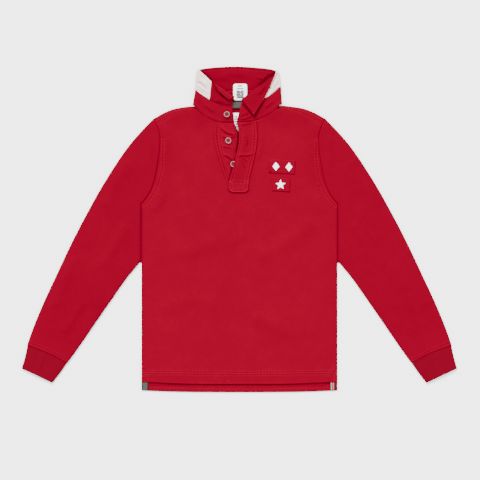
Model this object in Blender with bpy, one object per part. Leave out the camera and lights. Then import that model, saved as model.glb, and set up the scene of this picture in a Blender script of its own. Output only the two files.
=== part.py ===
"""A long-sleeve polo shirt laid flat on its back, collar turned up.

+Z is up off the surface that the shirt lies on, +Y runs from hem to collar and +X is to the viewer's
right. The origin is in the middle of the shirt's outline, on that surface. Tables are in millimetres,
in plan, as a tailor would take them off the laid shirt, and MM turns them into metres at the end.
"Left" and "right" are the viewer's.
"""

import math
from collections import namedtuple

import bmesh
import bpy
import numpy as np

MM = 0.001

# Cloth
CLOTH = 1.0  # wall of the jersey and of every other ply
GAP = 0.3  # clearance between plies that lie together
SEAM = 0.5  # clearance in plan where two pieces are sewn edge to edge
PITCH = CLOTH + GAP  # height from one ply to the next
FOLD_HEIGHT = 4.0  # overall height of a flattened tube at its folded edges
PILLOW = 1.4  # how much further the upper ply rises in its middle
HEM_PLY = 0.8  # extra thickness of a turned hem
HEM_DEPTH = 27.0
TAIL_HEM_DEPTH = 14.0
HEM_STEP = 1.0

# The body
HALF_CHEST = 235.2
SIDE_HEM_Y = -366.0
FRONT_HEM_Y = -371.0
SIDE_TAIL_Y = -386.5
BACK_TAIL_Y = -391.0
ARMPIT_Y = 60.0
EDGE_RISE = 10.0  # how far in from a side the upper ply has left the lower one
HEM_RISE = 55.0

# The collar
COLLAR_LIFT = 6.2  # from the middle of its back half to the middle of its front half
FRONT_SEAM_DROP = 2.4  # how much lower the band is where it is sewn to the front
NECK_CORNER = 24.0  # how far from its folds the band has come down to the front
TURN_RADIUS = 2.2  # of the rolled edge where the leaf turns out

# Trim
BUTTON_RADIUS = 7.6
BUTTON_HEIGHT = 2.6
RIM_WIDTH = 1.9
DISH_DEPTH = 0.9
BUTTON_SIDES = 20
FREE_EDGE_LIFT = 4.2  # the over-placket's open edge rides over the lowest button
LIFT_WIDTH = 26.0

Point = namedtuple("Point", "x y")

SLIT_END = Point(-2, 120)  # where the front's slit for the placket ends

# Outline of the right half, mirrored for the left where no other table is given.
SHOULDER_RIGHT = [Point(105, 296.5), Point(152, 291), Point(179, 281), Point(206, 265.5)]
SHOULDER_LEFT = [Point(-113, 295), Point(-152, 291), Point(-179, 281), Point(-206, 265.5)]
FORWARD_SEAM_RIGHT = [Point(88, 287.5), Point(121, 283.5), Point(167.5, 269.5), Point(199, 252)]
FORWARD_SEAM_LEFT = [Point(-103, 288), Point(-118, 285), Point(-152, 275.5), Point(-199, 252)]
ARMHOLE = [
    Point(199, 252),
    Point(190, 228),
    Point(190, 201),
    Point(196, 158),
    Point(203, 118),
    Point(212, 91),
    Point(222, 74),
    Point(HALF_CHEST, ARMPIT_Y),
]
SHOULDER_POINT = Point(206, 265.5)
SWING_PEAK = 0.8**4 * 0.2

# Sections of the right sleeve from the armhole to the cuff, each from its outer to its inner edge.
# bow: how much of the armhole's curve is left; swing: how far it bulges to the right near its inner end.
SleeveRow = namedtuple("SleeveRow", "outer_x outer_y inner_x inner_y bow swing")
SLEEVE = [
    SleeveRow(206, 265.5, 235.5, 60, 1.0, 0),
    SleeveRow(236, 235, 235.6, 52, 0.66, 9),
    SleeveRow(263.5, 204, 235.6, 42, 0.42, 13),
    SleeveRow(291, 165, 235.6, 30, 0.24, 14),
    SleeveRow(317, 124, 235.6, 15, 0.12, 13),
    SleeveRow(339.5, 87, 235.6, -3, 0.05, 10),
    SleeveRow(359.5, 50, 235.7, -25, 0.0, 6),
    SleeveRow(380, 12.5, 235.8, -52, 0.0, 3),
    SleeveRow(399.5, -26, 236.4, -80, 0.0, 0),
    SleeveRow(418, -64, 263, -107, 0.0, 0),
    SleeveRow(435.5, -102.5, 288, -143, 0.0, 0),
    SleeveRow(454, -141, 314.5, -181, 0.0, 0),
    SleeveRow(471.5, -179, 341, -219, 0.0, 0),
    SleeveRow(487.5, -217, 367, -257.5, 0.0, 0),
    SleeveRow(501, -252, 393, -295, 0.0, 0),
    SleeveRow(509.5, -278, 412, -320.5, 0.0, 0),
]
CUFF_SEAM_RISE = 4.0  # how far the cuff seam arches toward the shoulder
CUFF_START = [Point(508.7, -278.6), Point(463, -296), Point(413.3, -321)]
CUFF_OUTER = [Point(508.7, -278.6), Point(514, -305), Point(522.5, -333.5)]
CUFF_INNER = [Point(413.3, -321), Point(428, -343), Point(448.5, -368.5)]
CUFF_END = [Point(522.5, -333.5), Point(486, -350), Point(448.5, -368.5)]

# The collar's band, from its end at the under-placket round the back to its end at the over-placket.
# seam: sewn to the panels; top: sewn to the leaf; side is -1 behind, +1 in front and 0 on a fold.
BandRow = namedtuple("BandRow", "seam_x seam_y top_x top_y side")
BAND = [
    BandRow(-12.5, 256, -17, 297, 1),
    BandRow(-33, 255.5, -36, 297.5, 1),
    BandRow(-52, 258, -56, 301, 1),
    BandRow(-66, 262.5, -65, 305.5, 1),
    BandRow(-80, 269.5, -74, 311, 1),
    BandRow(-92, 278, -86, 318.5, 1),
    BandRow(-103, 288.5, -97, 325.5, 1),
    BandRow(-111.5, 296.5, -105.5, 332, 0),
    BandRow(-98, 297, -92, 333, -1),
    BandRow(-50, 296, -47, 333, -1),
    BandRow(-3, 295.5, -3, 333, -1),
    BandRow(45, 296.5, 42, 335, -1),
    BandRow(86, 298.5, 83, 338, -1),
    BandRow(101.5, 299, 98.5, 339.5, 0),
    BandRow(88, 288, 87, 329, 1),
    BandRow(78, 280.5, 78, 322.5, 1),
    BandRow(69, 274, 69, 316, 1),
    BandRow(46, 263.5, 46, 306, 1),
    BandRow(24, 257, 24, 302, 1),
    BandRow(-6.8, 256, 4.5, 302, 1),
]
NECK_LEFT = slice(1, 7)  # rows of BAND that are sewn to the front's left half
NECK_RIGHT = slice(14, 19)
BACK_NECK = slice(8, 13)
FOLD_STEPS = (-90, -45, 0, 45, 90)  # degrees round the collar's folds, from behind to the front

# seam: sewn to the band; crest: where the leaf turns out; edge: its outer edge.
# turn is 1 where it is turned out and 0 where it isn't; cut is 1 where the under collar is pieced.
LeafRow = namedtuple("LeafRow", "seam_x seam_y crest_x crest_y edge_x edge_y side turn cut")
LEAF = [
    LeafRow(-18, 298.3, -12.5, 317, -26, 308.5, 1, 1, 0),
    LeafRow(-37, 298.8, -33, 331, -41, 321.5, 1, 1, 0),
    LeafRow(-52, 301.3, -49, 341, -55, 333.5, 1, 1, 0),
    LeafRow(-57, 302.9, -55, 344.5, -57, 340.5, 1, 0.7, 0),
    LeafRow(-62, 305.3, -59, 346, -58, 347.8, 1, 0.35, 0),
    LeafRow(-71, 310.2, -67, 348.3, -66.5, 353, 1, 0, 1),
    LeafRow(-83, 317.5, -77, 357.5, -76, 362.8, 1, 0, 0),
    LeafRow(-97, 326.5, -91.5, 369, -90, 375, 1, 0, 0),
    LeafRow(-106.5, 333.3, -103.6, 372, -100.2, 382.5, 0, 0, 0),
    LeafRow(-92, 334.3, -87, 378, -85, 386, -1, 0, 0),
    LeafRow(-47, 334.3, -44, 381.5, -43, 389.5, -1, 0, 0),
    LeafRow(-3, 334.3, -3, 383, -3, 391, -1, 0, 0),
    LeafRow(42, 336.3, 40, 380, 39, 388, -1, 0, 0),
    LeafRow(83, 339.3, 75, 377, 73, 385, -1, 0, 0),
    LeafRow(99.5, 341, 96, 370, 90.3, 380.5, 0, 0, 0),
    LeafRow(91.5, 335.8, 87, 369.5, 86.5, 372.8, 1, 0.35, 0),
    LeafRow(87.5, 331.8, 80.5, 366, 82.3, 361.8, 1, 0.7, 0),
    LeafRow(82, 327.2, 73.5, 362, 78.5, 352, 1, 1, 0),
    LeafRow(69.5, 317.3, 60, 352.5, 69.8, 334, 1, 1, 0),
    LeafRow(46.5, 307.3, 41, 337, 57.8, 309, 1, 1, 1),
    LeafRow(24.5, 303.3, 21, 322, 45, 289.5, 1, 1, 0),
    LeafRow(6, 303.3, 6, 310.5, 34.5, 272.5, 1, 1, 0),
]

# The placket
UNDER_TOP = [Point(-51.5, 257.1), Point(-33, 254.8), Point(-12.5, 255.2)]
UNDER_OUTER = [Point(-51.5, 257.1), Point(-54.5, 228), Point(-49, 193), Point(-38.5, 158), Point(-22, 102)]
UNDER_FREE = [Point(-12.5, 255.2), Point(-4, 236), Point(-2, 200), Point(4, 158), Point(17, 102)]
OVER_FREE = [
    Point(-6.8, 255.2), Point(-4, 246), Point(-0.5, 230), Point(-3, 200), Point(-13.5, 154),
    Point(-26, 112), Point(-25, 94),
]
OVER_OUTER = [
    Point(41.5, 261.3), Point(42.5, 232), Point(41.5, 200), Point(30.5, 149), Point(24.5, 126), Point(21, 94),
]
OVER_END = [Point(-25, 94), Point(-19, 89), Point(-2, 88.3), Point(15, 89), Point(21, 94)]
OVER_TOP = [Point(-6.8, 255.2), Point(21, 255.9), Point(41.5, 261.3)]
OVER_SEWN_Y = 112.0
OVER_FREE_Y = 146.0

# Buttons, patches, labels and tapes
BUTTONS = [Point(-30.2, 276), Point(-27.0, 212.5), Point(-14.4, 156)]
PATCH_UPPER = [Point(71, 134.5), Point(133, 131.5), Point(134.5, 164.5), Point(71, 168)]
PATCH_LOWER = [Point(77.8, 91.7), Point(120.5, 89.3), Point(122.4, 121.2), Point(77.8, 124.6)]
STAR_CENTRE = Point(98.5, 106.5)
STAR_RADIUS = 12.7
STAR_WAIST = 0.42  # radius at the inner corners, as a share of the outer
LOZENGES = [Point(87.5, 150.5), Point(118.5, 149)]
LOZENGE_HALF_WIDTH = 8.0
LOZENGE_HALF_HEIGHT = 10.5
LABEL = [Point(-14.8, 309.5), Point(18.3, 309.5), Point(18.3, 348.7), Point(-14.8, 348.7)]
LABEL_CORNER = 5.0
INNER_LABEL = [Point(-21, 236), Point(3, 236), Point(3, 279), Point(-21, 279)]
TAPE_HALF_LENGTH = 84.0
TAPE_WIDTH = 18.5
TAPE_MIDDLE_Y = 298.5
VENT_OUTER_X = 234.2
VENT_WIDTH = 16.5
VENT_TOP_Y = -367.5
VENT_END_Y = -385.0

# Largest soft ridges of the upper ply: from and to in plan, width across and height.
Ridge = namedtuple("Ridge", "x1 y1 x2 y2 width height")
RIDGES = [
    Ridge(-150, 190, -95, 95, 34, 0.7),
    Ridge(155, 185, 105, 60, 36, 0.6),
    Ridge(-205, -40, -120, -120, 45, 0.6),
    Ridge(60, -60, 150, -200, 50, 0.5),
    Ridge(-60, -150, -20, -300, 48, 0.5),
    Ridge(-106, 293, -95, 281, 40, 2.0),
    Ridge(98, 293, 84, 283, 40, 2.0),
]

# Cells of the meshes
SIDE_CELLS = 8
ARM_CELLS = 8
SEAM_CELLS = 4
ARC_CELLS = 3
SHORT_DIAGONAL = 0.75  # a cell is split along its second diagonal where that is so much shorter
TOP_CELLS = 2

Paint = namedtuple("Paint", "red green blue roughness")
PAINTS = {
    "red_jersey": Paint(0.47, 0.008, 0.022, 0.85),
    "dark_red_rib": Paint(0.36, 0.006, 0.018, 0.88),
    "white_twill": Paint(0.80, 0.76, 0.74, 0.80),
    "label_white": Paint(0.86, 0.86, 0.85, 0.70),
    "grey_tape": Paint(0.12, 0.105, 0.095, 0.80),
    "striped_tape": Paint(0.45, 0.25, 0.24, 0.80),
    "button_red": Paint(0.42, 0.03, 0.03, 0.40),
}


def clear_scene():
    for thing in list(bpy.data.objects):
        bpy.data.objects.remove(thing, do_unlink=True)


def material(slot):
    made = bpy.data.materials.get(slot)
    if made is None:
        paint = PAINTS[slot]
        made = bpy.data.materials.new(slot)
        made.use_nodes = True
        shader = made.node_tree.nodes["Principled BSDF"]
        shader.inputs["Base Color"].default_value = (paint.red, paint.green, paint.blue, 1.0)
        shader.inputs["Roughness"].default_value = paint.roughness
    return made


def add_object(name, points, faces, slot):
    """One named object from points in millimetres, faces turned outward."""
    mesh = bpy.data.meshes.new(name)
    mesh.from_pydata([tuple(MM * c for c in p) for p in points], [], faces)
    build = bmesh.new()
    build.from_mesh(mesh)
    bmesh.ops.recalc_face_normals(build, faces=build.faces)
    build.to_mesh(mesh)
    build.free()
    mesh.materials.append(material(slot))
    mesh.shade_smooth()
    mesh.set_sharp_from_angle(angle=math.radians(50))
    made = bpy.data.objects.new(name, mesh)
    bpy.context.collection.objects.link(made)
    return made


def smooth_path(points, cells):
    """cells + 1 points, evenly spaced along a smooth curve through the given ones."""
    p = np.array(points, float)
    ends = np.vstack([2 * p[0] - p[1], p, 2 * p[-1] - p[-2]])
    t = np.linspace(0, 1, 13)[:-1, None]
    dense = []
    for a, b, c, d in zip(ends, ends[1:], ends[2:], ends[3:]):
        bend = (2 * a - 5 * b + 4 * c - d) * t**2 + (3 * b - a - 3 * c + d) * t**3
        dense.append(0.5 * (2 * b + (c - a) * t + bend))
    dense = np.vstack(dense + [p[-1:]])
    run = run_along(dense)
    want = np.linspace(0, run[-1], cells + 1)
    return np.stack([np.interp(want, run, dense[:, k]) for k in range(2)], axis=1)


def run_along(path):
    return np.concatenate([[0], np.cumsum(np.linalg.norm(np.diff(path, axis=0), axis=1))])


def joined(*paths):
    return np.vstack([paths[0]] + [p[1:] for p in paths[1:]])


def mirrored(path):
    return np.array(path, float) * (-1, 1)


def moved_aside(path, distance):
    """A plan path moved to its right by a distance."""
    run = np.gradient(path, axis=0)
    aside = np.stack([run[:, 1], -run[:, 0]], axis=1)
    return path + distance * aside / np.linalg.norm(aside, axis=1, keepdims=True)


def patch(bottom, top, left, right):
    """Grid of plan points inside four edges (a Coons patch), with its rows from bottom to top."""
    u = np.linspace(0, 1, len(bottom))[None, :, None]
    v = np.linspace(0, 1, len(left))[:, None, None]
    across = (1 - v) * bottom[None] + v * top[None]
    along = (1 - u) * left[:, None] + u * right[:, None]
    low = (1 - u) * bottom[0] + u * bottom[-1]
    high = (1 - u) * top[0] + u * top[-1]
    return across + along - (1 - v) * low - v * high


def ease(t):
    t = np.clip(t, 0, 1)
    return t * t * (3 - 2 * t)


def off_ridge(x, y, ridge):
    dx, dy = ridge.x2 - ridge.x1, ridge.y2 - ridge.y1
    t = np.clip(((x - ridge.x1) * dx + (y - ridge.y1) * dy) / (dx * dx + dy * dy), 0, 1)
    return np.hypot(x - ridge.x1 - t * dx, y - ridge.y1 - t * dy)


def front_base(x, y):
    """Height of the front's underside: on the back at hem and sides, higher over the rest."""
    low, full = PITCH, FOLD_HEIGHT - CLOTH
    beside = HALF_CHEST - np.abs(x)
    below_armpit = ease((ARMPIT_Y + 30 - y) / 60)
    side = ease(beside / EDGE_RISE)
    hem = ease((y - FRONT_HEM_Y) / HEM_RISE)
    rise = (1 - below_armpit * (1 - side)) * (0.25 + 0.75 * hem)
    ridges = sum(r.height * np.exp(-((2 * off_ridge(x, y, r) / r.width) ** 2)) for r in RIDGES)
    return low + (full - low) * rise + (PILLOW * ease(beside / 90) + ridges * side) * hem


def close_wall(name, low, high, cells, slot):
    """Joins two skins with the same cells by a rim round every open edge, as one closed wall."""
    count = len(low)
    cells = [half for c in cells for half in halved(c, low + high)]
    faces = [tuple(count + k for k in c) for c in cells] + [tuple(reversed(c)) for c in cells]
    edges = {(a, b) for c in cells for a, b in zip(c, c[1:] + c[:1])}
    faces += [(a, b, count + b, count + a) for a, b in sorted(edges) if (b, a) not in edges]
    used = sorted({k for f in faces for k in f})
    place = {k: n for n, k in enumerate(used)}
    points = np.vstack([low, high])[used]
    return add_object(name, points, [tuple(place[k] for k in f) for f in faces], slot)


def halved(cell, points):
    """The two triangles of a four-sided cell, split the same way on every skin of one surface."""
    if len(cell) != 4:
        return [cell]
    a, b, c, d = (int(k) for k in cell)
    if np.linalg.norm(points[b] - points[d]) < SHORT_DIAGONAL * np.linalg.norm(points[a] - points[c]):
        return [(a, b, d), (b, c, d)]
    return [(a, b, c), (a, c, d)]


def grid_cells(rows, cols, keep=lambda j, i: True):
    cells = [(j, i) for j in range(rows - 1) for i in range(cols - 1) if keep(j, i)]
    return [(j * cols + i, j * cols + i + 1, (j + 1) * cols + i + 1, (j + 1) * cols + i) for j, i in cells]


def sheet(name, plan, base, slot, thickness=CLOTH):
    """A wall over a plan grid, upright in thickness, its underside at height base."""
    rows, cols = plan.shape[:2]
    low = np.dstack([plan, np.broadcast_to(base, (rows, cols))]).reshape(-1, 3)
    high = low + np.outer(np.broadcast_to(thickness, (rows, cols)).ravel(), (0, 0, 1))
    return close_wall(name, low, high, grid_cells(rows, cols), slot)


def ply(name, middle, slot, offset=0.0, rows=slice(None), keep=lambda j, i: True, extra=0.0):
    """A wall along a surface's normals: its middle lies offset from the grid of points given."""
    normal = np.cross(np.gradient(middle, axis=1), np.gradient(middle, axis=0))
    normal /= np.linalg.norm(normal, axis=2, keepdims=True)
    middle, normal = middle[rows], normal[rows]
    low = middle + normal * (offset - CLOTH / 2)
    high = middle + normal * (offset + CLOTH / 2 + np.atleast_3d(extra))
    cells = grid_cells(middle.shape[0], middle.shape[1], keep)
    return close_wall(name, low.reshape(-1, 3), high.reshape(-1, 3), cells, slot)


def flat_ring(run, inset):
    """Section of a flattened tube as (distance across, height) pairs, inset from its outer skin.

    run holds the distances of the plan's own points, where the section has its points as well.
    """
    radius = FOLD_HEIGHT / 2
    r = radius - inset
    width = run[-1]
    marks = [radius, *run[1:-1], width - radius]
    turns = [math.pi * k / ARC_CELLS for k in range(ARC_CELLS)]
    ring = [(d, radius - r) for d in marks[:0:-1]]
    ring += [(radius - r * math.sin(a), radius - r * math.cos(a)) for a in turns]
    for d in marks[:-1]:
        middle = math.sin(math.pi * (d - radius) / (width - 2 * radius))
        ring.append((d, radius + r + PILLOW * max(middle, 0) ** 0.7))
    ring += [(width - radius + r * math.sin(a), radius + r * math.cos(a)) for a in turns]
    return ring


def flat_tube(name, plan, slot):
    """A flattened tube of cloth, open at both ends: one ring for each row of a plan grid.

    Its inner edge may run at a slant to the rows, so the fold there turns square to the edge.
    """
    edge_run = np.gradient(plan[:, -1], axis=0)
    inward = np.stack([-edge_run[:, 1], edge_run[:, 0]], axis=1)
    inward *= np.sign(np.sum(inward * (plan[:, -2] - plan[:, -1])))
    inward /= np.linalg.norm(inward, axis=1, keepdims=True)
    skins = []
    for inset in (CLOTH, 0.0):
        points = []
        for row, aside in zip(plan, inward):
            run = run_along(row)
            ring = flat_ring(run, inset)
            for d, z in ring:
                x, y = (np.interp(d, run, row[:, k]) for k in (0, 1))
                if run[-1] - d <= FOLD_HEIGHT / 2:
                    x, y = row[-1] + aside * (run[-1] - d)
                points.append((x, y, z))
        skins.append(np.array(points))
    around = len(ring)
    cells = []
    for j in range(len(plan) - 1):
        for i in range(around):
            k = (i + 1) % around
            cells.append((j * around + i, j * around + k, (j + 1) * around + k, (j + 1) * around + i))
    return close_wall(name, skins[0], skins[1], cells, slot)


def armhole_path():
    return smooth_path(ARMHOLE[::-1], ARM_CELLS)


def up_from_hem(x, hem_y, hem_depth, top_y):
    """A straight edge of a body panel: its turned hem, the hem's step, then on up."""
    above = hem_y + hem_depth + HEM_STEP
    heights = [hem_y, above - HEM_STEP, *np.linspace(above, top_y, SIDE_CELLS - 1)]
    return np.array([(x, y) for y in heights])


def back_panel():
    """The flat back with its tail. Past the shoulder line it turns over to the forward seam."""
    armhole = armhole_path() - (SEAM, 0)
    shoulder_point = np.array([(SHOULDER_POINT.x - SEAM, SHOULDER_POINT.y)])
    side = up_from_hem(armhole[0][0], SIDE_TAIL_Y, TAIL_HEM_DEPTH, ARMPIT_Y)
    right = np.vstack([side, armhole[1:], shoulder_point])
    left = mirrored(right)

    radius = FOLD_HEIGHT / 2
    fold = np.vstack([smooth_path(SHOULDER_LEFT[::-1], SEAM_CELLS), smooth_path(SHOULDER_RIGHT, SEAM_CELLS)])
    seams = [smooth_path(s, SEAM_CELLS) for s in (FORWARD_SEAM_LEFT[::-1], FORWARD_SEAM_RIGHT)]
    seam = np.vstack(seams)
    fold[0], fold[-1] = mirrored(shoulder_point)[0], shoulder_point[0]
    seam[0], seam[-1] = mirrored(armhole)[-1], armhole[-1]
    outward = (fold - seam) / np.linalg.norm(fold - seam, axis=1, keepdims=True)

    neck = np.array([(r.seam_x, r.seam_y - 2 * SEAM) for r in BAND[BACK_NECK]])
    inside = fold - outward * radius
    half = SEAM_CELLS + 1
    top = np.vstack([inside[:half], neck, inside[half:]])
    left[-1], right[-1] = top[0], top[-1]
    tail = [Point(*left[0]), Point(-150, -390), Point(0, BACK_TAIL_Y), Point(150, -390), Point(*right[0])]
    flat = patch(smooth_path(tail, len(top) - 1), top, left, right)
    grid = [np.dstack([flat, np.full(flat.shape[:2], CLOTH / 2)])]

    bend = radius - CLOTH / 2
    end = seam + outward * SEAM
    end_height = front_base(end[:, 0], end[:, 1]) + CLOTH / 2
    unturned = np.column_stack([neck, np.full(len(neck), CLOTH / 2)])
    for k in range(1, ARC_CELLS + TOP_CELLS + 1):
        angle = math.pi * min(k / ARC_CELLS, 1)
        t = max(k - ARC_CELLS, 0) / TOP_CELLS
        reach = inside + outward * bend * math.sin(angle) + t * (end - inside)
        height = radius - bend * math.cos(angle) + t * (end_height - radius - bend)
        turned = np.column_stack([reach, height])
        unturned = unturned + (0, 1, 0)
        grid.append(np.vstack([turned[:half], unturned, turned[half:]])[None])
    middle = np.concatenate(grid)
    last_flat = flat.shape[0] - 1
    neck_columns = range(half - 1, half + len(neck))
    extra = np.zeros(middle.shape[:2])
    extra[:2] = HEM_PLY

    def keep(j, i):
        return j < last_flat or i not in neck_columns

    ply("back_panel", middle, "red_jersey", keep=keep, extra=extra)


def front_half(sign, seam, neck):
    """Plan grid of one half of the front, its columns from the side to the centre."""
    armhole = armhole_path() - (SEAM, 0)
    side = up_from_hem(armhole[0][0], SIDE_HEM_Y, HEM_DEPTH, ARMPIT_Y)
    edge = joined(side, armhole) * (sign, 1)
    rows = np.array([(r.seam_x, r.seam_y) for r in neck])
    neck_path = moved_aside(rows, -sign * SEAM)
    slit = smooth_path([SLIT_END, Point(*neck_path[-1])], ARM_CELLS)
    centre = up_from_hem(0, FRONT_HEM_Y, HEM_DEPTH, SLIT_END.y)
    centre[:, 0] = SLIT_END.x * ease((centre[:, 1] - FRONT_HEM_Y) / (SLIT_END.y - FRONT_HEM_Y))
    top = joined(smooth_path(seam[::-1], SEAM_CELLS), neck_path)
    top[0] = edge[-1]
    hem_points = [Point(*edge[0]), Point(sign * 118, FRONT_HEM_Y + 0.5), Point(0, FRONT_HEM_Y)]
    return patch(smooth_path(hem_points, len(top) - 1), top, edge, joined(centre, slit))


def front_panel():
    """The front, one wall with a slit from the neck down, where the placket is sewn."""
    left = front_half(-1, FORWARD_SEAM_LEFT, BAND[NECK_LEFT][::-1])
    right = front_half(1, FORWARD_SEAM_RIGHT, BAND[NECK_RIGHT])[:, ::-1]
    plan = np.concatenate([left, right], axis=1)
    rows, cols = plan.shape[:2]
    centre = left.shape[1] - 1
    below_slit = SIDE_CELLS * cols + centre + 1
    base = front_base(plan[..., 0], plan[..., 1])
    thick = np.full((rows, cols), CLOTH)
    thick[:2] += HEM_PLY
    low = np.dstack([plan, base]).reshape(-1, 3)
    high = np.dstack([plan, base + thick]).reshape(-1, 3)
    cells = []
    for cell in grid_cells(rows, cols, lambda j, i: i != centre):
        cells.append(tuple(k - 1 if k % cols == centre + 1 and k <= below_slit else k for k in cell))
    close_wall("front_panel", low, high, cells, "red_jersey")


def sleeve_plan():
    """The right sleeve's sections in plan: the armhole's curve, fading into straight ones."""
    armhole = np.vstack([[SHOULDER_POINT], armhole_path()[::-1]])
    armhole[-1] = SLEEVE[0].inner_x, SLEEVE[0].inner_y
    share = run_along(armhole)[:, None] / run_along(armhole)[-1]
    bow = armhole - (armhole[0] + share * (armhole[-1] - armhole[0]))
    plan = []
    for r in SLEEVE:
        outer, inner = np.array([r.outer_x, r.outer_y]), np.array([r.inner_x, r.inner_y])
        swing = r.swing * share**4 * (1 - share) / SWING_PEAK * (1, 0)
        plan.append(outer + share * (inner - outer) + r.bow ** (1 + 4 * share**2) * bow + swing)
    across = (inner - outer) / np.linalg.norm(inner - outer)
    plan[-1] = plan[-1] + CUFF_SEAM_RISE * np.sin(math.pi * share) * (across[1], -across[0])
    return np.array(plan)


def sleeves_and_cuffs():
    sleeve = sleeve_plan()
    edges = ((CUFF_START, 6), (CUFF_END, 6), (CUFF_OUTER, 3), (CUFF_INNER, 3))
    cuff = patch(*(smooth_path(points, cells) for points, cells in edges))
    for word, sign in (("left", -1), ("right", 1)):
        flat_tube("sleeve_" + word, sleeve * (sign, 1), "red_jersey")
        flat_tube("cuff_" + word, cuff * (sign, 1), "dark_red_rib")


def collar_height(side):
    """Height of the middle between the collar's two plies."""
    return PITCH - GAP / 2 + COLLAR_LIFT * (side + 1) / 2


def round_folds(table):
    """A row on a fold becomes the rows of a half turn there; the other rows stay as they are."""
    rows = []
    for row in table:
        if row.side:
            rows.append(row)
            continue
        from_front = row.seam_x < 0
        for angle in FOLD_STEPS[::-1] if from_front else FOLD_STEPS:
            a = math.radians(angle)
            inward = -math.copysign(COLLAR_LIFT / 2, row.seam_x) * (1 - math.cos(a))
            shifted = {f: getattr(row, f) + inward for f in row._fields if f.endswith("_x")}
            rows.append(row._replace(side=math.sin(a), **shifted))
    return rows


def band():
    """The two plies of the collar's stand, as one strip that is folded at both sides."""
    middle = []
    for r in round_folds(BAND):
        z = collar_height(r.side)
        from_fold = min(abs(r.seam_x - fold.seam_x) for fold in BAND if not fold.side)
        seam_z = z - FRONT_SEAM_DROP * ease(r.side) * ease((from_fold - COLLAR_LIFT / 2) / NECK_CORNER)
        dx, dy = r.top_x - r.seam_x, r.top_y - r.seam_y
        across = [(t, seam_z + (z - seam_z) * ease(1.5 * t)) for t in (0, 0.33, 0.67, 1)]
        middle.append([(r.seam_x + t * dx, r.seam_y + t * dy, h) for t, h in across])
    middle = np.array(middle)
    ply("band_inner", middle, "red_jersey", offset=-PITCH / 2)
    ply("band_outer", middle, "red_jersey", offset=PITCH / 2)


def leaf_section(r):
    """Points across the leaf from band to outer edge, rolled over at the crest where it turns out."""
    z = collar_height(r.side)
    seam = np.array((r.seam_x, r.seam_y))
    crest = np.array((r.crest_x, r.crest_y))
    edge = np.array((r.edge_x, r.edge_y))
    up = (crest - seam) / np.linalg.norm(crest - seam)
    turn = math.pi * r.turn
    rolled = crest - TURN_RADIUS * up
    section = [(*(seam + t * (rolled - seam)), z) for t in (0, 0.5, 1)]
    for k in (0.25, 0.5, 0.75, 1):
        ahead = TURN_RADIUS * (math.sin(turn * k) + 2 * k * (1 - r.turn))
        section.append((*(rolled + ahead * up), z + TURN_RADIUS * (1 - math.cos(turn * k))))
    rise = np.linalg.norm(edge - crest) * math.sin(turn)
    section.append((*edge, section[-1][2] + rise))
    return np.array(section)


def leaf():
    """The collar's leaf: the top collar, and the under collar with its two red front ends."""
    middle, cuts = [], []
    for r in round_folds(LEAF):
        section = leaf_section(r)
        if r.cut:
            cuts.append(len(middle) + 1)
            middle.append(section + (SEAM / 2, 0, 0))
            section = section - (SEAM / 2, 0, 0)
        middle.append(section)
    middle = np.array(middle)
    first, last = cuts
    ply("top_collar", middle, "red_jersey", offset=-PITCH / 2)
    ply("under_collar_left_front", middle, "red_jersey", PITCH / 2, slice(0, first))
    ply("under_collar", middle, "white_twill", PITCH / 2, slice(first, last))
    ply("under_collar_right_front", middle, "red_jersey", PITCH / 2, slice(last, None))


def placket():
    cells = 10
    outer, free = smooth_path(UNDER_OUTER, cells), smooth_path(UNDER_FREE, cells)
    plan = patch(smooth_path(UNDER_TOP, 4), smooth_path([outer[-1], free[-1]], 4), outer, free)
    sheet("placket_under", plan, front_base(plan[..., 0], plan[..., 1]) + PITCH, "red_jersey")

    free, outer = smooth_path(OVER_FREE, cells), smooth_path(OVER_OUTER, cells)
    plan = patch(smooth_path(OVER_TOP, 6), smooth_path(OVER_END, 6), free, outer)
    from_free = np.linalg.norm(plan - plan[:, :1], axis=2)
    open_part = ease((plan[..., 1] - OVER_SEWN_Y) / (OVER_FREE_Y - OVER_SEWN_Y))
    lift = FREE_EDGE_LIFT * np.exp(-((from_free / LIFT_WIDTH) ** 2)) * open_part
    sheet("placket_over", plan, front_base(plan[..., 0], plan[..., 1]) + 2 * PITCH + lift, "red_jersey")


def button(name, place, base):
    """A turned button: flat below, dished inside a raised rim."""
    r, h = BUTTON_RADIUS, BUTTON_HEIGHT
    profile = [(r - 0.8, 0), (r, 0.8), (r, h - 0.8), (r - 0.7, h), (r - RIM_WIDTH + 0.6, h)]
    profile += [(r - RIM_WIDTH, h - DISH_DEPTH), (0.5 * r, h - DISH_DEPTH - 0.1)]
    points, faces = [], []
    for pr, pz in profile:
        for k in range(BUTTON_SIDES):
            a = 2 * math.pi * k / BUTTON_SIDES
            points.append((place.x + pr * math.cos(a), place.y + pr * math.sin(a), base + pz))
    for j in range(len(profile) - 1):
        for k in range(BUTTON_SIDES):
            n = (k + 1) % BUTTON_SIDES
            faces.append(tuple(c + m * BUTTON_SIDES for c, m in ((k, j), (n, j), (n, j + 1), (k, j + 1))))
    last = (len(profile) - 1) * BUTTON_SIDES
    faces.append(tuple(range(BUTTON_SIDES))[::-1])
    faces.append(tuple(last + k for k in range(BUTTON_SIDES)))
    add_object(name, points, faces, "button_red")


def buttons():
    band_top = collar_height(1) + PITCH / 2 + CLOTH / 2 + GAP
    cloth_top = [band_top] + [front_base(p.x, p.y) + PITCH + CLOTH + GAP for p in BUTTONS[1:]]
    for k, (place, base) in enumerate(zip(BUTTONS, cloth_top), 1):
        button("button_%d" % k, place, float(base))


def four_sided(corners, cells):
    a, b, c, d = (Point(*p) for p in corners)
    return patch(*(smooth_path(pair, cells) for pair in ((a, b), (d, c), (a, d), (b, c))))


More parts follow.
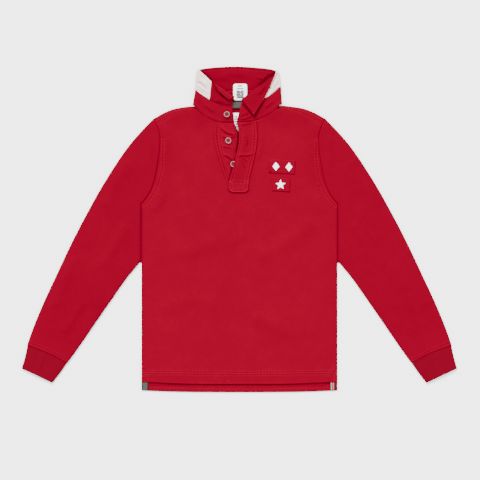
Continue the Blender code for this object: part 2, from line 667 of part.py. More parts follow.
def flat_figure(name, outline, level, slot):
    """A small applied figure on the front: an outline filled as a fan, level plies above the panel."""
    outline = np.array(outline, float)
    points = np.vstack([outline, outline.mean(axis=0)])
    base = front_base(points[:, 0], points[:, 1]) + level * PITCH
    low = np.column_stack([points, base])
    count = len(outline)
    cells = [(k, (k + 1) % count, count) for k in range(count)]
    close_wall(name, low, low + (0, 0, CLOTH), cells, slot)


def patches():
    for name, corners in (("chest_patch_upper", PATCH_UPPER), ("chest_patch_lower", PATCH_LOWER)):
        plan = four_sided(corners, 4)
        sheet(name, plan, front_base(plan[..., 0], plan[..., 1]) + PITCH, "red_jersey")
    star = []
    for k in range(10):
        a = math.pi * (0.5 + k / 5)
        r = STAR_RADIUS * (STAR_WAIST if k % 2 else 1)
        star.append((STAR_CENTRE.x + r * math.cos(a), STAR_CENTRE.y + r * math.sin(a)))
    flat_figure("patch_star", star, 2, "white_twill")
    for k, c in enumerate(LOZENGES, 1):
        w, h = LOZENGE_HALF_WIDTH, LOZENGE_HALF_HEIGHT
        corners = [(c.x - w, c.y), (c.x, c.y - h), (c.x + w, c.y), (c.x, c.y + h)]
        flat_figure("patch_lozenge_%d" % k, corners, 2, "white_twill")


def labels_and_tapes():
    on_collar = 2 * PITCH
    (x0, y0), _, (x1, y1), _ = LABEL
    outline = []
    for cx, cy, start in ((x1, y1, 0), (x0, y1, 1), (x0, y0, 2), (x1, y0, 3)):
        inset = LABEL_CORNER
        centre = (cx - inset if cx == x1 else cx + inset, cy - inset if cy == y1 else cy + inset)
        for k in range(5):
            a = math.pi / 2 * (start + k / 4)
            outline.append((centre[0] + inset * math.cos(a), centre[1] + inset * math.sin(a)))
    low = np.array([(x, y, on_collar) for x, y in outline])
    close_wall("neck_label", low, low + (0, 0, CLOTH), [tuple(range(len(outline)))], "label_white")
    sheet("inner_label", four_sided(INNER_LABEL, 3), PITCH, "label_white")

    half, low_y, high_y = TAPE_HALF_LENGTH, TAPE_MIDDLE_Y - TAPE_WIDTH / 2, TAPE_MIDDLE_Y + TAPE_WIDTH / 2
    tape = [(-half, low_y), (half, low_y), (half, high_y), (-half, high_y)]
    sheet("neck_tape", four_sided(tape, 6), on_collar, "grey_tape")

    for word, sign, slot in (("left", -1, "grey_tape"), ("right", 1, "striped_tape")):
        x0, x1 = sorted((sign * VENT_OUTER_X, sign * (VENT_OUTER_X - VENT_WIDTH)))
        corners = [(x0, VENT_END_Y), (x1, VENT_END_Y), (x1, VENT_TOP_Y), (x0, VENT_TOP_Y)]
        sheet("vent_tape_" + word, four_sided(corners, 3), PITCH + HEM_PLY, slot)


def main():
    clear_scene()
    back_panel()
    front_panel()
    sleeves_and_cuffs()
    band()
    leaf()
    placket()
    buttons()
    patches()
    labels_and_tapes()


main()
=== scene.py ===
"""Looks of a red long-sleeve polo shirt laid flat: its cloth, seams, thread, buttons and labels."""
import math
from collections import namedtuple

import bmesh
import bpy
import numpy as np
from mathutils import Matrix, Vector
from mathutils.bvhtree import BVHTree


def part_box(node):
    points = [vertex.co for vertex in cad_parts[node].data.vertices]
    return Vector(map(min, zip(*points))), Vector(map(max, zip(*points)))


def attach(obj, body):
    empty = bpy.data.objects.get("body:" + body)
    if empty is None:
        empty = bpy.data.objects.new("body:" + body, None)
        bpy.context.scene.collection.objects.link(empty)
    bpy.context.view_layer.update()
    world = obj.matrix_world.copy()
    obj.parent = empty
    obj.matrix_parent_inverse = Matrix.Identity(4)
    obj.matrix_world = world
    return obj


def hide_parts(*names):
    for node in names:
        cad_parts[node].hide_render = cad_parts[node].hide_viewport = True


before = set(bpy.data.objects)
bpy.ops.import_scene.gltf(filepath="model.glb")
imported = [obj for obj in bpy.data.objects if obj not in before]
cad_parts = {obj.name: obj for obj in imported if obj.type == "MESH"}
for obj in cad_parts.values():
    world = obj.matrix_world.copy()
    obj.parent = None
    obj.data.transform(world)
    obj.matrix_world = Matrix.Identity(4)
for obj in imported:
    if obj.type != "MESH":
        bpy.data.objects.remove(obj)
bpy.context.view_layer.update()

# Sizes and places are in millimetres unless their line says otherwise.
MM = 0.001

# Where the camera looks, and how wide the picture is on the surface.
VIEW_X = 1.4
VIEW_Y = -25.7
VIEW_WIDTH = 1152.0
CAMERA_HEIGHT = 3000.0
SENSOR = 36.0
CLIP_END = 20  # metres

# The pale floor, the even sky and the one soft sun. Sizes in metres.
FLOOR_SIZE = 30
FLOOR_DROP = 0.0002
FLOOR_TONE = 0.97
SKY_STRENGTH = 2.55
SUN_STRENGTH = 10.4
SUN_ANGLE = math.radians(24)
SUN_DIRECTION = (0.5, -1.9, -1.4)

# Edges that turn more than these stay sharp in a smoothed piece: along a cut edge, and across it.
RIM_TURN = math.radians(70)
CORNER_TURN = math.radians(32)
WALL = 1.6  # edges shorter than this run across a cut edge
JOIN_TURN = 0.6  # radians between triangles that are joined first
JOIN_SHAPE = 2.4


def mirrored(points):
    return [(-x, y) for x, y in points]


def both(*row):
    """A row whose last value is a line, with its mirror image before it."""
    return [(*row[:-1], mirrored(row[-1])), row]


def pair(*row):
    """The left and right rows of something that both sides have; {} in its name stands for the side."""
    return [(values[0].format(side), *values[1:]) for side, values in zip(("left", "right"), both(*row))]


# Lines of sewing on each piece: name, depth and width of the groove, height of the gathers, line.
CUFF_SEAMS = pair("cuff_{}", 0.22, 1.2, 0.14, [(505, -270.5), (478, -281), (447, -296), (416, -312)])
SEAMS = {
    "front_panel": [
        *pair("arm_{}", 0.45, 1.3, 0.22, [(184, 212), (183.6, 190), (184.5, 157), (190, 124),
         (201, 94), (218, 69), (232, 56.5)]),
        ("hem_upper", 0.4, 1.2, 0.2, [(-231, -340.5), (-120, -342.2), (0, -343), (120, -342.2),
         (231, -340.5)]),
        ("hem_lower", 0.3, 1.1, 0.15, [(-231, -345.3), (-120, -347), (0, -347.8), (120, -347),
         (231, -345.3)]),
        *pair("vent_{}", 0.3, 1.1, 0.12, [(223, -349), (223.2, -357), (223.4, -365)]),
        ("under_placket_outer", 0.45, 1.2, 0.2, [(-51.5, 250), (-55.5, 227), (-49.5, 193), (-39.5, 158),
         (-27.5, 122)]),
    ],
    "back_panel": [
        *pair("shoulder_{}", 0.3, 1.2, 0.15, [(120, 288.6), (152, 279.4), (180, 268.4), (198, 257)]),
        ("tail", 0.25, 1.1, 0.1, [(-214, -375.5), (-120, -378.2), (0, -379.5), (120, -378.2),
         (210, -375.8)]),
    ],
    "sleeve_left": CUFF_SEAMS[:1],
    "sleeve_right": CUFF_SEAMS[1:],
    "band_outer": [
        ("neck_left", 0.3, 1.1, 0.12, [(-108, 299), (-93, 283.6), (-78, 272.4), (-61, 264.2), (-49, 260.6)]),
        ("neck_right", 0.3, 1.1, 0.12, [(1.5, 256.4), (30, 260.8), (45, 266.6), (66.5, 276),
         (86.5, 291.6), (97, 300)]),
    ],
    "top_collar": [
        ("rim", 0.3, 1.2, 0.15, [(-94, 379), (-66, 383), (-39, 384.8), (-7, 385.6), (35, 382.8),
         (78, 378.6)]),
        ("leaf_outer", 0.35, 1.2, 0.15, [(86, 368), (74, 344), (58.5, 317), (46, 294), (35.3, 278.5)]),
        ("leaf_tip", 0.35, 1.2, 0.15, [(34.4, 278), (23, 291), (11, 305)]),
        ("strip", 0.3, 1.1, 0.12, [(-57, 343.5), (-37, 326), (-20, 311)]),
    ],
    "placket_under": [
        ("under_free", 0.3, 1.1, 0.15, [(-17.5, 252), (-11, 236), (-10, 222)]),
        ("under_inner", 0.3, 1.1, 0.15, [(-43.5, 248), (-45.5, 211), (-41.5, 186), (-31.5, 149),
         (-24.5, 126)]),
    ],
    "placket_over": [
        ("over_outer", 0.4, 1.2, 0.2, [(35, 254), (36, 232), (35, 202), (31.5, 180), (24.5, 151),
         (19, 127), (16.6, 113.5)]),
        ("over_free", 0.3, 1.1, 0.15, [(-0.6, 251), (3.6, 238), (4, 228), (1.6, 201), (-4, 178),
         (-9, 154), (-15.5, 127), (-20, 113.5)]),
        ("box_top", 0.4, 1.1, 0.15, [(-20.6, 113.5), (-2, 112.4), (17, 113)]),
        ("box_right", 0.4, 1.1, 0.12, [(17, 112.5), (16.5, 104), (15.4, 95.6)]),
        ("box_bottom", 0.4, 1.1, 0.15, [(15, 95), (0, 93.6), (-17, 94.2)]),
        ("box_left", 0.4, 1.1, 0.12, [(-18.6, 95), (-20.6, 104), (-21, 112.5)]),
    ],
    "under_collar": [
        ("twill_upper", 0.2, 1.0, 0.1, [(-99, 374), (-90, 367.5), (-78, 356), (-68, 346)]),
        ("twill_lower", 0.2, 1.0, 0.1, [(-101.5, 336), (-89, 327.5), (-75.5, 317)]),
    ],
}
THREAD_OF = {"under_collar": "grey"}  # the others are sewn in red

# How the cloth gathers beside a line of sewing, how pale its worn ridges turn, and how much painted shade
# darkens its groove.
SEAM_REACH = 14
PUCKER_PITCH = 6.4
PUCKER_WIDTH = 4.2
PUCKER_LEVEL = 0.6
PUCKER_DRIFT = 2.1
DRIFT_LENGTH = 13.0
RIDGE_TONE = 0.35
RIDGE_OFF = 2.6
RIDGE_WIDTH = 1.4
RIDGE_WAVE = 0.5  # share by which the gathers vary it
GROOVE_PAINTED_SHADE = 0.32
GROOVE_WIDTH = 1.1

# Slow swells of the laid cloth: length, turn in degrees, height, and start in radians.
SWELLS = [
    (61, 17, 0.10, 0.4), (47, 78, 0.09, 1.9), (38, 131, 0.07, 3.1), (87, 52, 0.13, 5.0),
    (128, 154, 0.18, 2.2), (73, 101, 0.10, 4.1), (31, 33, 0.04, 0.9), (205, 12, 0.25, 1.2),
]
SWELL_TOP = 0.9
SWELL_WAVER = 1.3
SWELL_BEND = 2.1

# Soft folds on each piece: width, height, how much narrower one side is, how strongly painted shade darkens
# its shaded side, and its line.
FOLDS = {
    "front_panel": [
        (9, 0.88, 0.6, 0.042, [(-172, 222), (-176, 200), (-175, 178)]),
        (12, 0.88, 0.7, 0.03, [(-113, 281), (-108, 262), (-98, 244)]),
        (7, 0.8, 0.6, 0.045, [(-63, 214), (-59, 190), (-52, 168)]),
        (7, 0.72, 0.6, 0.036, [(53, 226), (50, 196), (41, 166)]),
        (12, 0.88, 0.7, 0.03, [(112, 280), (108, 262), (97, 246)]),
        (10, 0.88, 0.7, 0.042, [(176, 214), (178, 192), (174, 170)]),
        (14, 1.12, 0.7, 0.042, [(-214, 44), (-196, 62), (-181, 86)]),
        (14, 1.12, 0.7, 0.042, [(215, 42), (197, 58), (180, 80)]),
        (18, 0.96, 0.8, 0.03, [(-150, -60), (-60, -32), (20, -10)]),
        (20, 0.96, 0.8, 0.03, [(40, -70), (120, -30), (175, 22)]),
        (18, 0.96, 0.8, 0.024, [(-190, -190), (-110, -170), (-50, -182)]),
        (19, 0.96, 0.8, 0.03, [(30, -205), (110, -240), (190, -246)]),
        (22, 0.8, 0.8, 0.024, [(-120, 70), (-60, 20), (-30, -60)]),
        (7, 0.88, 0.5, 0.06, [(212, -363), (220, -345), (232, -331)]),
        (6, 0.72, 0.5, 0.045, [(-222, -362), (-228, -345), (-233, -330)]),
    ],
    "placket_under": [
        (3.6, 1.7, 0.45, 0.42, [(-46, 246), (-36, 236), (-22, 229), (-9, 227)]),
        (3, 1.3, 0.5, 0.4, [(-43, 224), (-30, 219.5), (-18, 220.6), (-9, 224)]),
        (3.2, 0.9, 0.6, 0.23, [(-42, 199), (-28, 197), (-17, 194)]),
        (3.2, 1.4, 0.5, 0.52, [(-39, 179), (-28, 175), (-18, 168), (-12, 164)]),
        (2.6, 0.8, 0.5, 0.26, [(-34, 166), (-27, 158), (-22, 150)]),
    ],
    "placket_over": [
        (3.6, 1.2, 0.5, 0.3, [(-5, 176), (8, 177), (20, 177.4), (34, 181)]),
        (2.8, 0.8, 0.6, 0.23, [(6, 173), (14, 168), (20, 160)]),
        (3.4, 0.9, 0.7, 0.2, [(0, 250), (14, 252), (33, 257)]),
        (4, 0.7, 0.7, 0.13, [(10, 228), (14, 212), (12, 196)]),
    ],
    "band_outer": [
        (3.6, 1.1, 0.6, 0.2, [(1, 263), (15, 266), (31, 272)]),
        (3, 0.9, 0.6, 0.16, [(3, 272), (12, 277), (24, 281)]),
        (3.4, 1, 0.6, 0.2, [(-103, 316), (-98, 309), (-92, 303)]),
        (4.2, 0.8, 0.6, 0.12, [(58, 292), (70, 298), (83, 309)]),
        (5, 0.8, 0.6, 0.12, [(-84, 300), (-70, 288), (-56, 280)]),
    ],
    "top_collar": [
        (9, 0.8, 0.7, 0.25, [(-45, 366), (-10, 372), (30, 367)]),
        (8, 0.8, 0.7, 0.25, [(26, 346), (12, 352), (2, 362)]),
        (5, 0.8, 0.7, 0.3, [(40, 322), (51, 331), (62, 345)]),
        (4, 0.8, 0.6, 0.4, [(66, 372), (56, 358), (44, 346)]),
    ],
    "under_collar": [
        (3.2, 1, 0.5, 0.7, [(-101, 357), (-90, 352), (-76, 338)]),
        (2.6, 0.7, 0.5, 0.45, [(-103, 343), (-94, 340), (-80, 328)]),
        (2.6, 0.9, 0.5, 0.8, [(96, 343), (86, 336), (72, 322), (62, 313)]),
        (2.4, 0.7, 0.5, 0.5, [(92, 360), (85, 346), (76, 334)]),
    ],
    "sleeve_left": [
        (13, 0.9, 0.7, 0.03, [(-425, -250), (-398, -212), (-372, -170)]),
        (20, 1.12, 0.8, 0.036, [(-262, 165), (-300, 110), (-322, 50)]),
        (17, 1.04, 0.7, 0.036, [(-270, 12), (-300, -40), (-342, -96)]),
        (15, 1.04, 0.7, 0.036, [(-392, -60), (-420, -120), (-448, -190)]),
        (8, 0.8, 0.6, 0.045, [(-218, 228), (-213, 196), (-217, 160)]),
    ],
    "sleeve_right": [
        (13, 0.9, 0.7, 0.03, [(425, -250), (398, -212), (372, -170)]),
        (20, 1.12, 0.8, 0.036, [(262, 168), (303, 108), (326, 44)]),
        (17, 1.04, 0.7, 0.036, [(268, 18), (302, -34), (345, -98)]),
        (15, 1.04, 0.7, 0.036, [(390, -54), (423, -118), (450, -186)]),
        (8, 0.8, 0.6, 0.045, [(219, 226), (214, 194), (218, 158)]),
    ],
    "cuff_left": [
        (6, 0.5, 0.7, 0.06, [(-470, -300), (-478, -322), (-483, -342)]),
    ],
    "cuff_right": [
        (6, 0.5, 0.7, 0.06, [(452, -306), (459, -328), (466, -346)]),
    ],
}
FOLD_FADE = 0.35  # share of a fold's width over which it dies away at an end, and what is added to it
FOLD_FADE_MORE = 6
FOLD_END = 0.25  # share of its height left at the very end
SHADE_OFF = 0.8  # where a fold's shaded side lies and how wide it is, in shares of its width
SHADE_WIDTH = 0.55

# Strokes of colour on each piece: width, strength and line. Above 0 the colour turns paler along worn ridges
# and edges; below 0 painted shade darkens it in hollows, in corners and under edges.
STROKES = {
    "front_panel": [
        *both(34, -0.10, [(200, 250), (190, 170), (205, 90)]),
        *both(26, -0.12, [(180, 268), (110, 280), (60, 250)]),
        (1.8, -0.3, [(-28, 98), (-24, 88.5), (-2, 86.4), (16, 87), (24, 93)]),
        (2.2, -0.2, [(-60, 236), (-61, 215), (-56, 190), (-46, 158), (-33, 118)]),
        *both(2.0, -0.2, [(232, 50), (233, 0), (233, -150), (233, -366)]),
        (1.6, 0.4, [(-232, -368.5), (-118, -369), (0, -369.4), (118, -369), (232, -368.5)]),
    ],
    "sleeve_right": [
        (60, -0.07, [(360, -110), (410, -200), (450, -290)]),
        (2.0, 0.08, [(510, -275.5), (463, -291.5), (412.5, -317)]),
        (1.6, -0.2, [(238, 50), (238, 10), (238.5, -60)]),
    ],
    "top_collar": [
        (4.5, -1.0, [(-97, 379), (-88, 373), (-82, 368)]),
        (5.0, -0.9, [(-86, 371), (-75, 363), (-64, 354)]),
        (4.5, -0.9, [(87, 377), (80, 371), (74, 365)]),
        (5.0, -0.6, [(76, 372), (66, 362), (54, 352), (44, 346)]),
        (2.5, 0.5, [(-53, 341), (-36, 328), (-16, 313)]),
        (1.4, 0.7, [(82, 358), (70, 334), (58, 311), (45, 290), (36, 276)]),
        (1.4, 0.7, [(33, 275), (22, 287), (9, 301)]),
    ],
    "under_collar": [
        (1.6, -0.4, [(-102, 370.3), (-86, 365.8), (-69, 356.8)]),
        (1.4, -0.3, [(-104, 353.8), (-89, 349.3), (-71, 344.8)]),
        (1.8, -0.35, [(-102, 335.8), (-86, 329.8), (-72, 319.3)]),
        (1.4, -0.45, [(93, 355.3), (84, 338.8), (73, 322.3)]),
        (1.2, -0.35, [(96, 346.3), (88, 332.8), (80, 321)]),
    ],
    "band_inner": [
        (12.0, -0.5, [(-60, 315), (-20, 318), (40, 316), (80, 322)]),
    ],
    "band_outer": [
        (2.4, -0.6, [(7, 300), (21, 285), (34, 270.5), (40, 277), (54, 301)]),
        (2.2, -0.5, [(-50, 300), (-36, 296), (-19, 295)]),
    ],
    "under_collar_left_front": [
        (2.2, -1.3, [(-57, 340), (-44, 324), (-28, 309.5)]),
    ],
    "placket_under": [
        (2.4, -1.4, [(-6, 243), (-2.5, 228), (-2.5, 212), (-5, 198), (-8, 183)]),
        (2.2, -0.9, [(-10, 172), (-15, 156), (-20, 138), (-26, 118)]),
    ],
    "placket_over": [
        (1.3, 0.7, [(-24, 94.5), (-18, 91), (-2, 90.4), (14, 91), (19.5, 94.5)]),
        (1.2, 0.5, [(20.6, 100), (24, 126), (30, 149), (40.6, 200), (41.6, 232)]),
    ],
    "back_panel": [
        (2.2, -0.4, [(-217, -373), (-118, -374), (0, -374.4), (118, -374), (217, -373)]),
    ],
    "cuff_right": [
        (1.4, -0.15, [(508, -280), (463, -297.5), (413, -322.5)]),
    ],
}
for part in ("sleeve", "cuff"):
    STROKES[part + "_left"] = [(*row[:-1], mirrored(row[-1])) for row in STROKES[part + "_right"]]
STROKE_PAST = 2  # how far past its ends a stroke starts, and what is added to its width for the fade
STROKE_FADE = 3

# Sewn joins, where the turnings show between two edges in red darkened as painted shade: name, half the
# width, how deep they lie, line.
JOINS = [
    *pair("arm_join_{}", 2.0, 0.5,
          [(205.6, 265), (199, 252), (190, 228), (189.7, 201), (195.7, 158), (202.7, 118), (211.7, 91),
           (221.7, 74), (228, 67), (236.6, 57)]),
    *pair("cuff_join_{}", 2.0, 0.3,
          [(508.5, -278.4), (486, -285.5), (463, -295.6), (438, -308), (413.6, -320.8)]),
    ("band_join_left", 1.0, 0.6, [(-40, 256.8), (-28, 255.7), (-13.8, 255.2)]),
    ("band_join_right", 1.0, 0.6, [(-5.4, 255.5), (8, 255.8), (21, 256.4), (41, 261.4)]),
    ("neck_join", 1.6, 0.5, [(-98, 333.6), (-50, 333.7), (-3, 333.7), (42, 335.6), (80, 338.4)]),
    ("leaf_join_left", 1.5, 0.5, [(-105, 332.6), (-97, 326.2), (-86, 319), (-74, 311.5), (-60, 303.6),
                                 (-45, 299.4), (-20, 297.7)]),
    ("leaf_join_right", 1.5, 0.5, [(97.5, 339.6), (87, 330.4), (78, 323.4), (69, 316.7), (58, 311)]),
    ("shoulder_join_left", 1.2, 0.4,
     [(-92, 287.3), (-121, 283.5), (-152, 275.4), (-178, 264.5), (-198, 252.5)]),
    ("shoulder_join_right", 1.2, 0.4, [(92, 287), (121, 283.5), (152, 275.4), (178, 264.5), (198, 252.5)]),
]
TURNING_STEP = 2.5
TURNING_THICK = 0.4
TURNING_LOOK = (-1.8, -1, 1, 1.8)  # where the cloth beside a join is felt, in half widths
LOWEST_JOIN = 1.2

# A strip of the shaded turnings down each side under the arm, a sheet of painted shade in the gap between
# body and sleeve: y, and its extra width there; then where it starts and ends.
UNDERARM_SIDE = [(66, 0.6), (60, 0.6), (30, 0.4), (0, 0.4), (-40, 0.7), (-66, 1.5), (-80, 2.9)]
SIDE_INNER = 234.0
SIDE_OUTER = 236.0
SIDE_LOW = 0.3
SIDE_TOP = 2.0

# Stitched borders of what lies on a panel: the piece's corners, and how far inside the sewing runs.
Border = namedtuple("Border", "piece thread inset corners")
BORDERS = [
    Border("chest_patch_upper", "red", 1.8, [(71, 168), (134.4, 164.2), (132.7, 131.3), (71, 134.6)]),
    Border("chest_patch_lower", "red", 1.8, [(77.8, 124.6), (122.4, 121.2), (120.5, 89.3), (77.8, 91.7)]),
    Border("neck_label", "pale", 1.6, [(-14.8, 348.7), (18.3, 348.7), (18.3, 309.5), (-14.8, 309.5)]),
]
PATCH_JOIN = [(104.4, 164.6), (102.6, 134.6)]

# Buttonholes: the piece, the middle of each and the half of its slit.
HOLES = [
    ("placket_over", (19, 211, 0), (-1.2, 9.5, 0)),
    ("placket_over", (8.5, 156, 0), (-2.2, 9.3, 0)),
    ("band_outer", (11, 272.5, 0), (9, 1.6, 0)),
]
HOLE_STITCH = (1.9, 0.26)  # length and radius of its stitches
HOLE_STITCH_PITCH = 0.35
HOLE_EDGE = 1.15  # how far from the slit they lie
SLIT_STEPS = 6
SLIT_SHARE = 0.94
SLIT_RADIUS = 0.28
SLIT_RISE = 0.0001  # metres

# Buttons: the middle of each, and its turn in degrees.
BUTTONS = {"button_1": (-30.2, 275, 20), "button_2": (-26.6, 212.4, 64), "button_3": (-14.4, 156, 38)}
BUTTON_HEIGHT = 2.6
BUTTON_SIDES = 40
# Its section without the rim, from below: radius and height.
BUTTON_SECTION = [(0, 0), (6.7, 0), (7.4, 0.5), (7.6, 1.2), (7.35, 1.9), (5.42, 1.8), (4.72, 1.45),
                  (0, 1.35)]
BUTTON_EDGE = math.radians(50)  # edges that turn more stay sharp
HOLE_RADIUS = 0.8
HOLE_SPREAD = 1.5
HOLE_SIDES = 14
RIM_RADIUS = 6.1
RIM_HALF = 0.68
RIM_TWISTS = 22
RIM_AROUND = 132
RIM_SECTION = 10
RIM_DROP = 0.75  # how far its middle lies below the button's top
RIM_FLATNESS = 0.75
RIM_STRAND = 0.09
RIM_SWELL = 0.036
TIE_OFF = 0.28
TIE_DROP = 1.0

# Plain bars on each label: height on it, where each starts and ends, and its thickness. The first is red.
BARS = {
    "neck_label": [
        (343.5, -3.5, 6.5, 3.2), (337.2, -6, 9, 2.8), (331, -7, 1.8, 3.9), (331, 2.6, 10.8, 3.9),
        (327.2, -7, 10, 3.9), (323.4, -7.4, 3.2, 3.9), (323.4, 4.0, 10.8, 3.9), (319.6, -7, 9.5, 3.9),
        (315.8, -6, 10.8, 3.9),
    ],
    "inner_label": [
        (270, -11, -5, 3.6), (264.5, -11.5, -4, 3.8), (258.5, -10.5, -3.5, 3.8), (252, -9, -2.5, 3.8),
        (246, -8, -1, 3.8),
    ],
}
BAR_PITCH = 0.6
BAR_RADIUS = 0.3
BAR_RISE = 0.00012  # metres

# Fold corners of the collar, which a smoothed piece keeps.
PINS = [(-100.2, 382.5), (90.3, 380.5), (-103.6, 372), (96, 370), (-106.5, 333.3), (99.5, 341),
        (34.5, 272.5), (-12.5, 317), (6, 310.5)]
PIN_REACH = 3.2

# Thread, and the finer mesh beside sewing: how far it reaches, and its longest edge.
STITCH_PITCH = 3.0
THREAD_RADIUS = 0.24
STITCH_WANDER = 0.12
FINE_STEPS = [(11.0, 3.4), (5.0, 1.8)]
FINE_ROUNDS = 4
FINE_WIDTH = 6.0  # folds and strokes narrower than this have it too
SLIVER = 0.05  # faces thinner than this are closed up

TUBES = ("sleeve_left", "sleeve_right", "cuff_left", "cuff_right")
TUBE_LOW = 1.2  # height from which a flattened tube counts as its upper side, and over how much it turns so
TUBE_BLEND = 2.6
# Painted shade where the cloth rolls over and slopes away from the top.
EDGE_PAINTED_SHADE = 0.34  # how much deeper the colour turns where the cloth rolls over
UP_LOW = 0.1  # the upward share of a normal from which sewing shows, and over how much it turns full
UP_BLEND = 0.5
STEP = 2.0
CURVE_POINTS = 16
FAR = 1e9


def smooth_path(points, step=STEP):
    """Points at equal steps along a smooth curve through the given ones."""
    p = np.array(points, float)
    if len(p) > 2:
        ends = np.vstack([2 * p[0] - p[1], p, 2 * p[-1] - p[-2]])
        curve = []
        for a, b, c, d in zip(ends[:-3], ends[1:-2], ends[2:-1], ends[3:]):
            for t in np.linspace(0, 1, CURVE_POINTS, endpoint=False):
                curve.append(0.5 * (2 * b + (c - a) * t + (2 * a - 5 * b + 4 * c - d) * t**2
                                    + (3 * b - 3 * c + d - a) * t**3))
        p = np.array(curve + [p[-1]])
    run = np.concatenate([[0], np.cumsum(np.linalg.norm(np.diff(p, axis=0), axis=1))])
    at = np.linspace(0, run[-1], max(2, int(round(run[-1] / step)) + 1))
    return np.stack([np.interp(at, run, p[:, k]) for k in range(p.shape[1])], axis=1)


def distance(xy, path, reach):
    """How far each point lies from a path, the run along it, and on which side; far off beyond the reach."""
    best, run, side = np.full(len(xy), FAR), np.zeros(len(xy)), np.zeros(len(xy))
    low, high = path.min(axis=0) - reach, path.max(axis=0) + reach
    inside = np.nonzero(np.all((xy > low) & (xy < high), axis=1))[0]
    done = 0.0
    for a, b in zip(path[:-1], path[1:]):
        along = b - a
        length = np.linalg.norm(along)
        t = np.clip((xy[inside] - a) @ along / length**2, 0, 1)
        off = xy[inside] - (a + t[:, None] * along)
        d = np.hypot(off[:, 0], off[:, 1])
        near = d < best[inside]
        best[inside[near]] = d[near]
        run[inside[near]] = done + t[near] * length
        side[inside[near]] = np.sign(along[0] * off[near, 1] - along[1] * off[near, 0])
        done += length
    return best, run, side


def linked(name, data):
    """A new object in the scene that shows this mesh, camera or lamp."""
    thing = bpy.data.objects.new(name, data)
    bpy.context.scene.collection.objects.link(thing)
    return thing


def smoothed(node, levels):
    """A finer copy of a solid: its cut edges stay crisp, and everything else turns smooth."""
    build = bmesh.new()
    build.from_mesh(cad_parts[node].data)
    bmesh.ops.remove_doubles(build, verts=build.verts, dist=1e-6)
    bmesh.ops.join_triangles(build, faces=build.faces, angle_face_threshold=JOIN_TURN,
                             angle_shape_threshold=JOIN_SHAPE)
    crease = build.edges.layers.float.new("crease_edge")
    for edge in build.edges:
        if len(edge.link_faces) == 2:
            limit = CORNER_TURN if edge.calc_length() < WALL * MM else RIM_TURN
            if edge.calc_face_angle(0) > limit:
                edge[crease] = 1.0
    if "collar" in node:
        pinned = build.verts.layers.float.new("crease_vert")
        for vert in build.verts:
            if min(math.hypot(vert.co.x / MM - x, vert.co.y / MM - y) for x, y in PINS) < PIN_REACH:
                vert[pinned] = 1.0
    mesh = bpy.data.meshes.new(node + "_smooth")
    build.to_mesh(mesh)
    build.free()
    thing = linked(node + "_smooth", mesh)
    finer = thing.modifiers.new("finer", "SUBSURF")
    finer.levels = finer.render_levels = levels
    evaluated = thing.evaluated_get(bpy.context.evaluated_depsgraph_get())
    result = bpy.data.meshes.new_from_object(evaluated)
    bpy.data.objects.remove(thing, do_unlink=True)
    bpy.data.meshes.remove(mesh)
    return result


def refined(mesh, paths):
    """Splits the edges beside the lines of sewing, so that grooves and puckers can follow them."""
    build = bmesh.new()
    build.from_mesh(mesh)
    bmesh.ops.triangulate(build, faces=build.faces)
    for reach, size in FINE_STEPS:
        for _ in range(FINE_ROUNDS):
            edges = [e for e in build.edges if e.calc_length() > size * MM]
            if not edges:
                break
            middle = np.array([((e.verts[0].co + e.verts[1].co) / (2 * MM))[:2] for e in edges])
            near = np.zeros(len(edges), bool)
            for path in paths:
                near |= distance(middle, path, reach)[0] < reach
            split = [e for e, n in zip(edges, near) if n]
            if not split:
                break
            bmesh.ops.subdivide_edges(build, edges=split, cuts=1)
            bmesh.ops.triangulate(build, faces=[f for f in build.faces if len(f.verts) > 3])
    bmesh.ops.dissolve_degenerate(build, dist=SLIVER * MM, edges=build.edges)
    bmesh.ops.triangulate(build, faces=[f for f in build.faces if len(f.verts) > 3])
    build.to_mesh(mesh)
    build.free()


def mm_array(mesh):
    """The mesh's points and its normals, in which large faces count for more."""
    points = np.empty(len(mesh.vertices) * 3)
    mesh.vertices.foreach_get("co", points)
    points = points.reshape(-1, 3) / MM
    mesh.calc_loop_triangles()
    corners = np.empty(len(mesh.loop_triangles) * 3, int)
    mesh.loop_triangles.foreach_get("vertices", corners)
    corners = corners.reshape(-1, 3)
    first, second, third = (points[corners[:, k]] for k in range(3))
    turned = np.cross(second - first, third - first)
    normals = np.zeros_like(points)
    for k in range(3):
        np.add.at(normals, corners[:, k], turned)
    return points, normals / np.maximum(np.linalg.norm(normals, axis=1, keepdims=True), 1e-12)


def ease(t):
    t = np.clip(t, 0, 1)
    return t * t * (3 - 2 * t)


def bell(off, width):
    """1 in the middle of a line, falling away to either side."""
    return np.exp(-((off / width) ** 2))


def ripple(x, y):
    """How far the upper cloth rises from its solid in slow, uneven swells; never below it."""
    total = np.zeros_like(x)
    for length, turn, height, start in SWELLS:
        c, s = math.cos(math.radians(turn)), math.sin(math.radians(turn))
        waver = SWELL_WAVER * np.sin((y * c - x * s) / length * SWELL_BEND)
        total += height * np.sin(2 * math.pi * (x * c + y * s) / length + start + waver)
    return SWELL_TOP * ease(0.5 + total / (2 * SWELL_TOP))


def end_fade(run, path, past, reach):
    """Falls away at both ends of a path over this reach; past: how far beyond the ends it starts."""
    length = STEP * (len(path) - 1)
    return ease((run + past) / reach) * ease((length - run + past) / reach)


def fold_rise(node, xy):
    """How far this piece's folds lift its points, and how much painted shade darkens their shaded sides."""
    rise, deep = np.zeros(len(xy)), np.zeros(len(xy))
    for wide, height, steep, painted_shade, line in FOLDS.get(node, ()):
        path = smooth_path(line)
        d, run, side = distance(xy, path, 3 * wide)
        fade = end_fade(run, path, 0, FOLD_FADE * wide + FOLD_FADE_MORE)
        rise += height * bell(d, np.where(side > 0, wide, wide * steep)) * (FOLD_END + (1 - FOLD_END) * fade)
        # Painted shade along the side of the fold away from the light.
        run_x, run_y = path[-1] - path[0]
        shaded = 1 if -run_y - run_x > 0 else -1
        deep += painted_shade * bell(d * side * shaded - SHADE_OFF * wide, SHADE_WIDTH * wide) * fade
    return rise, deep


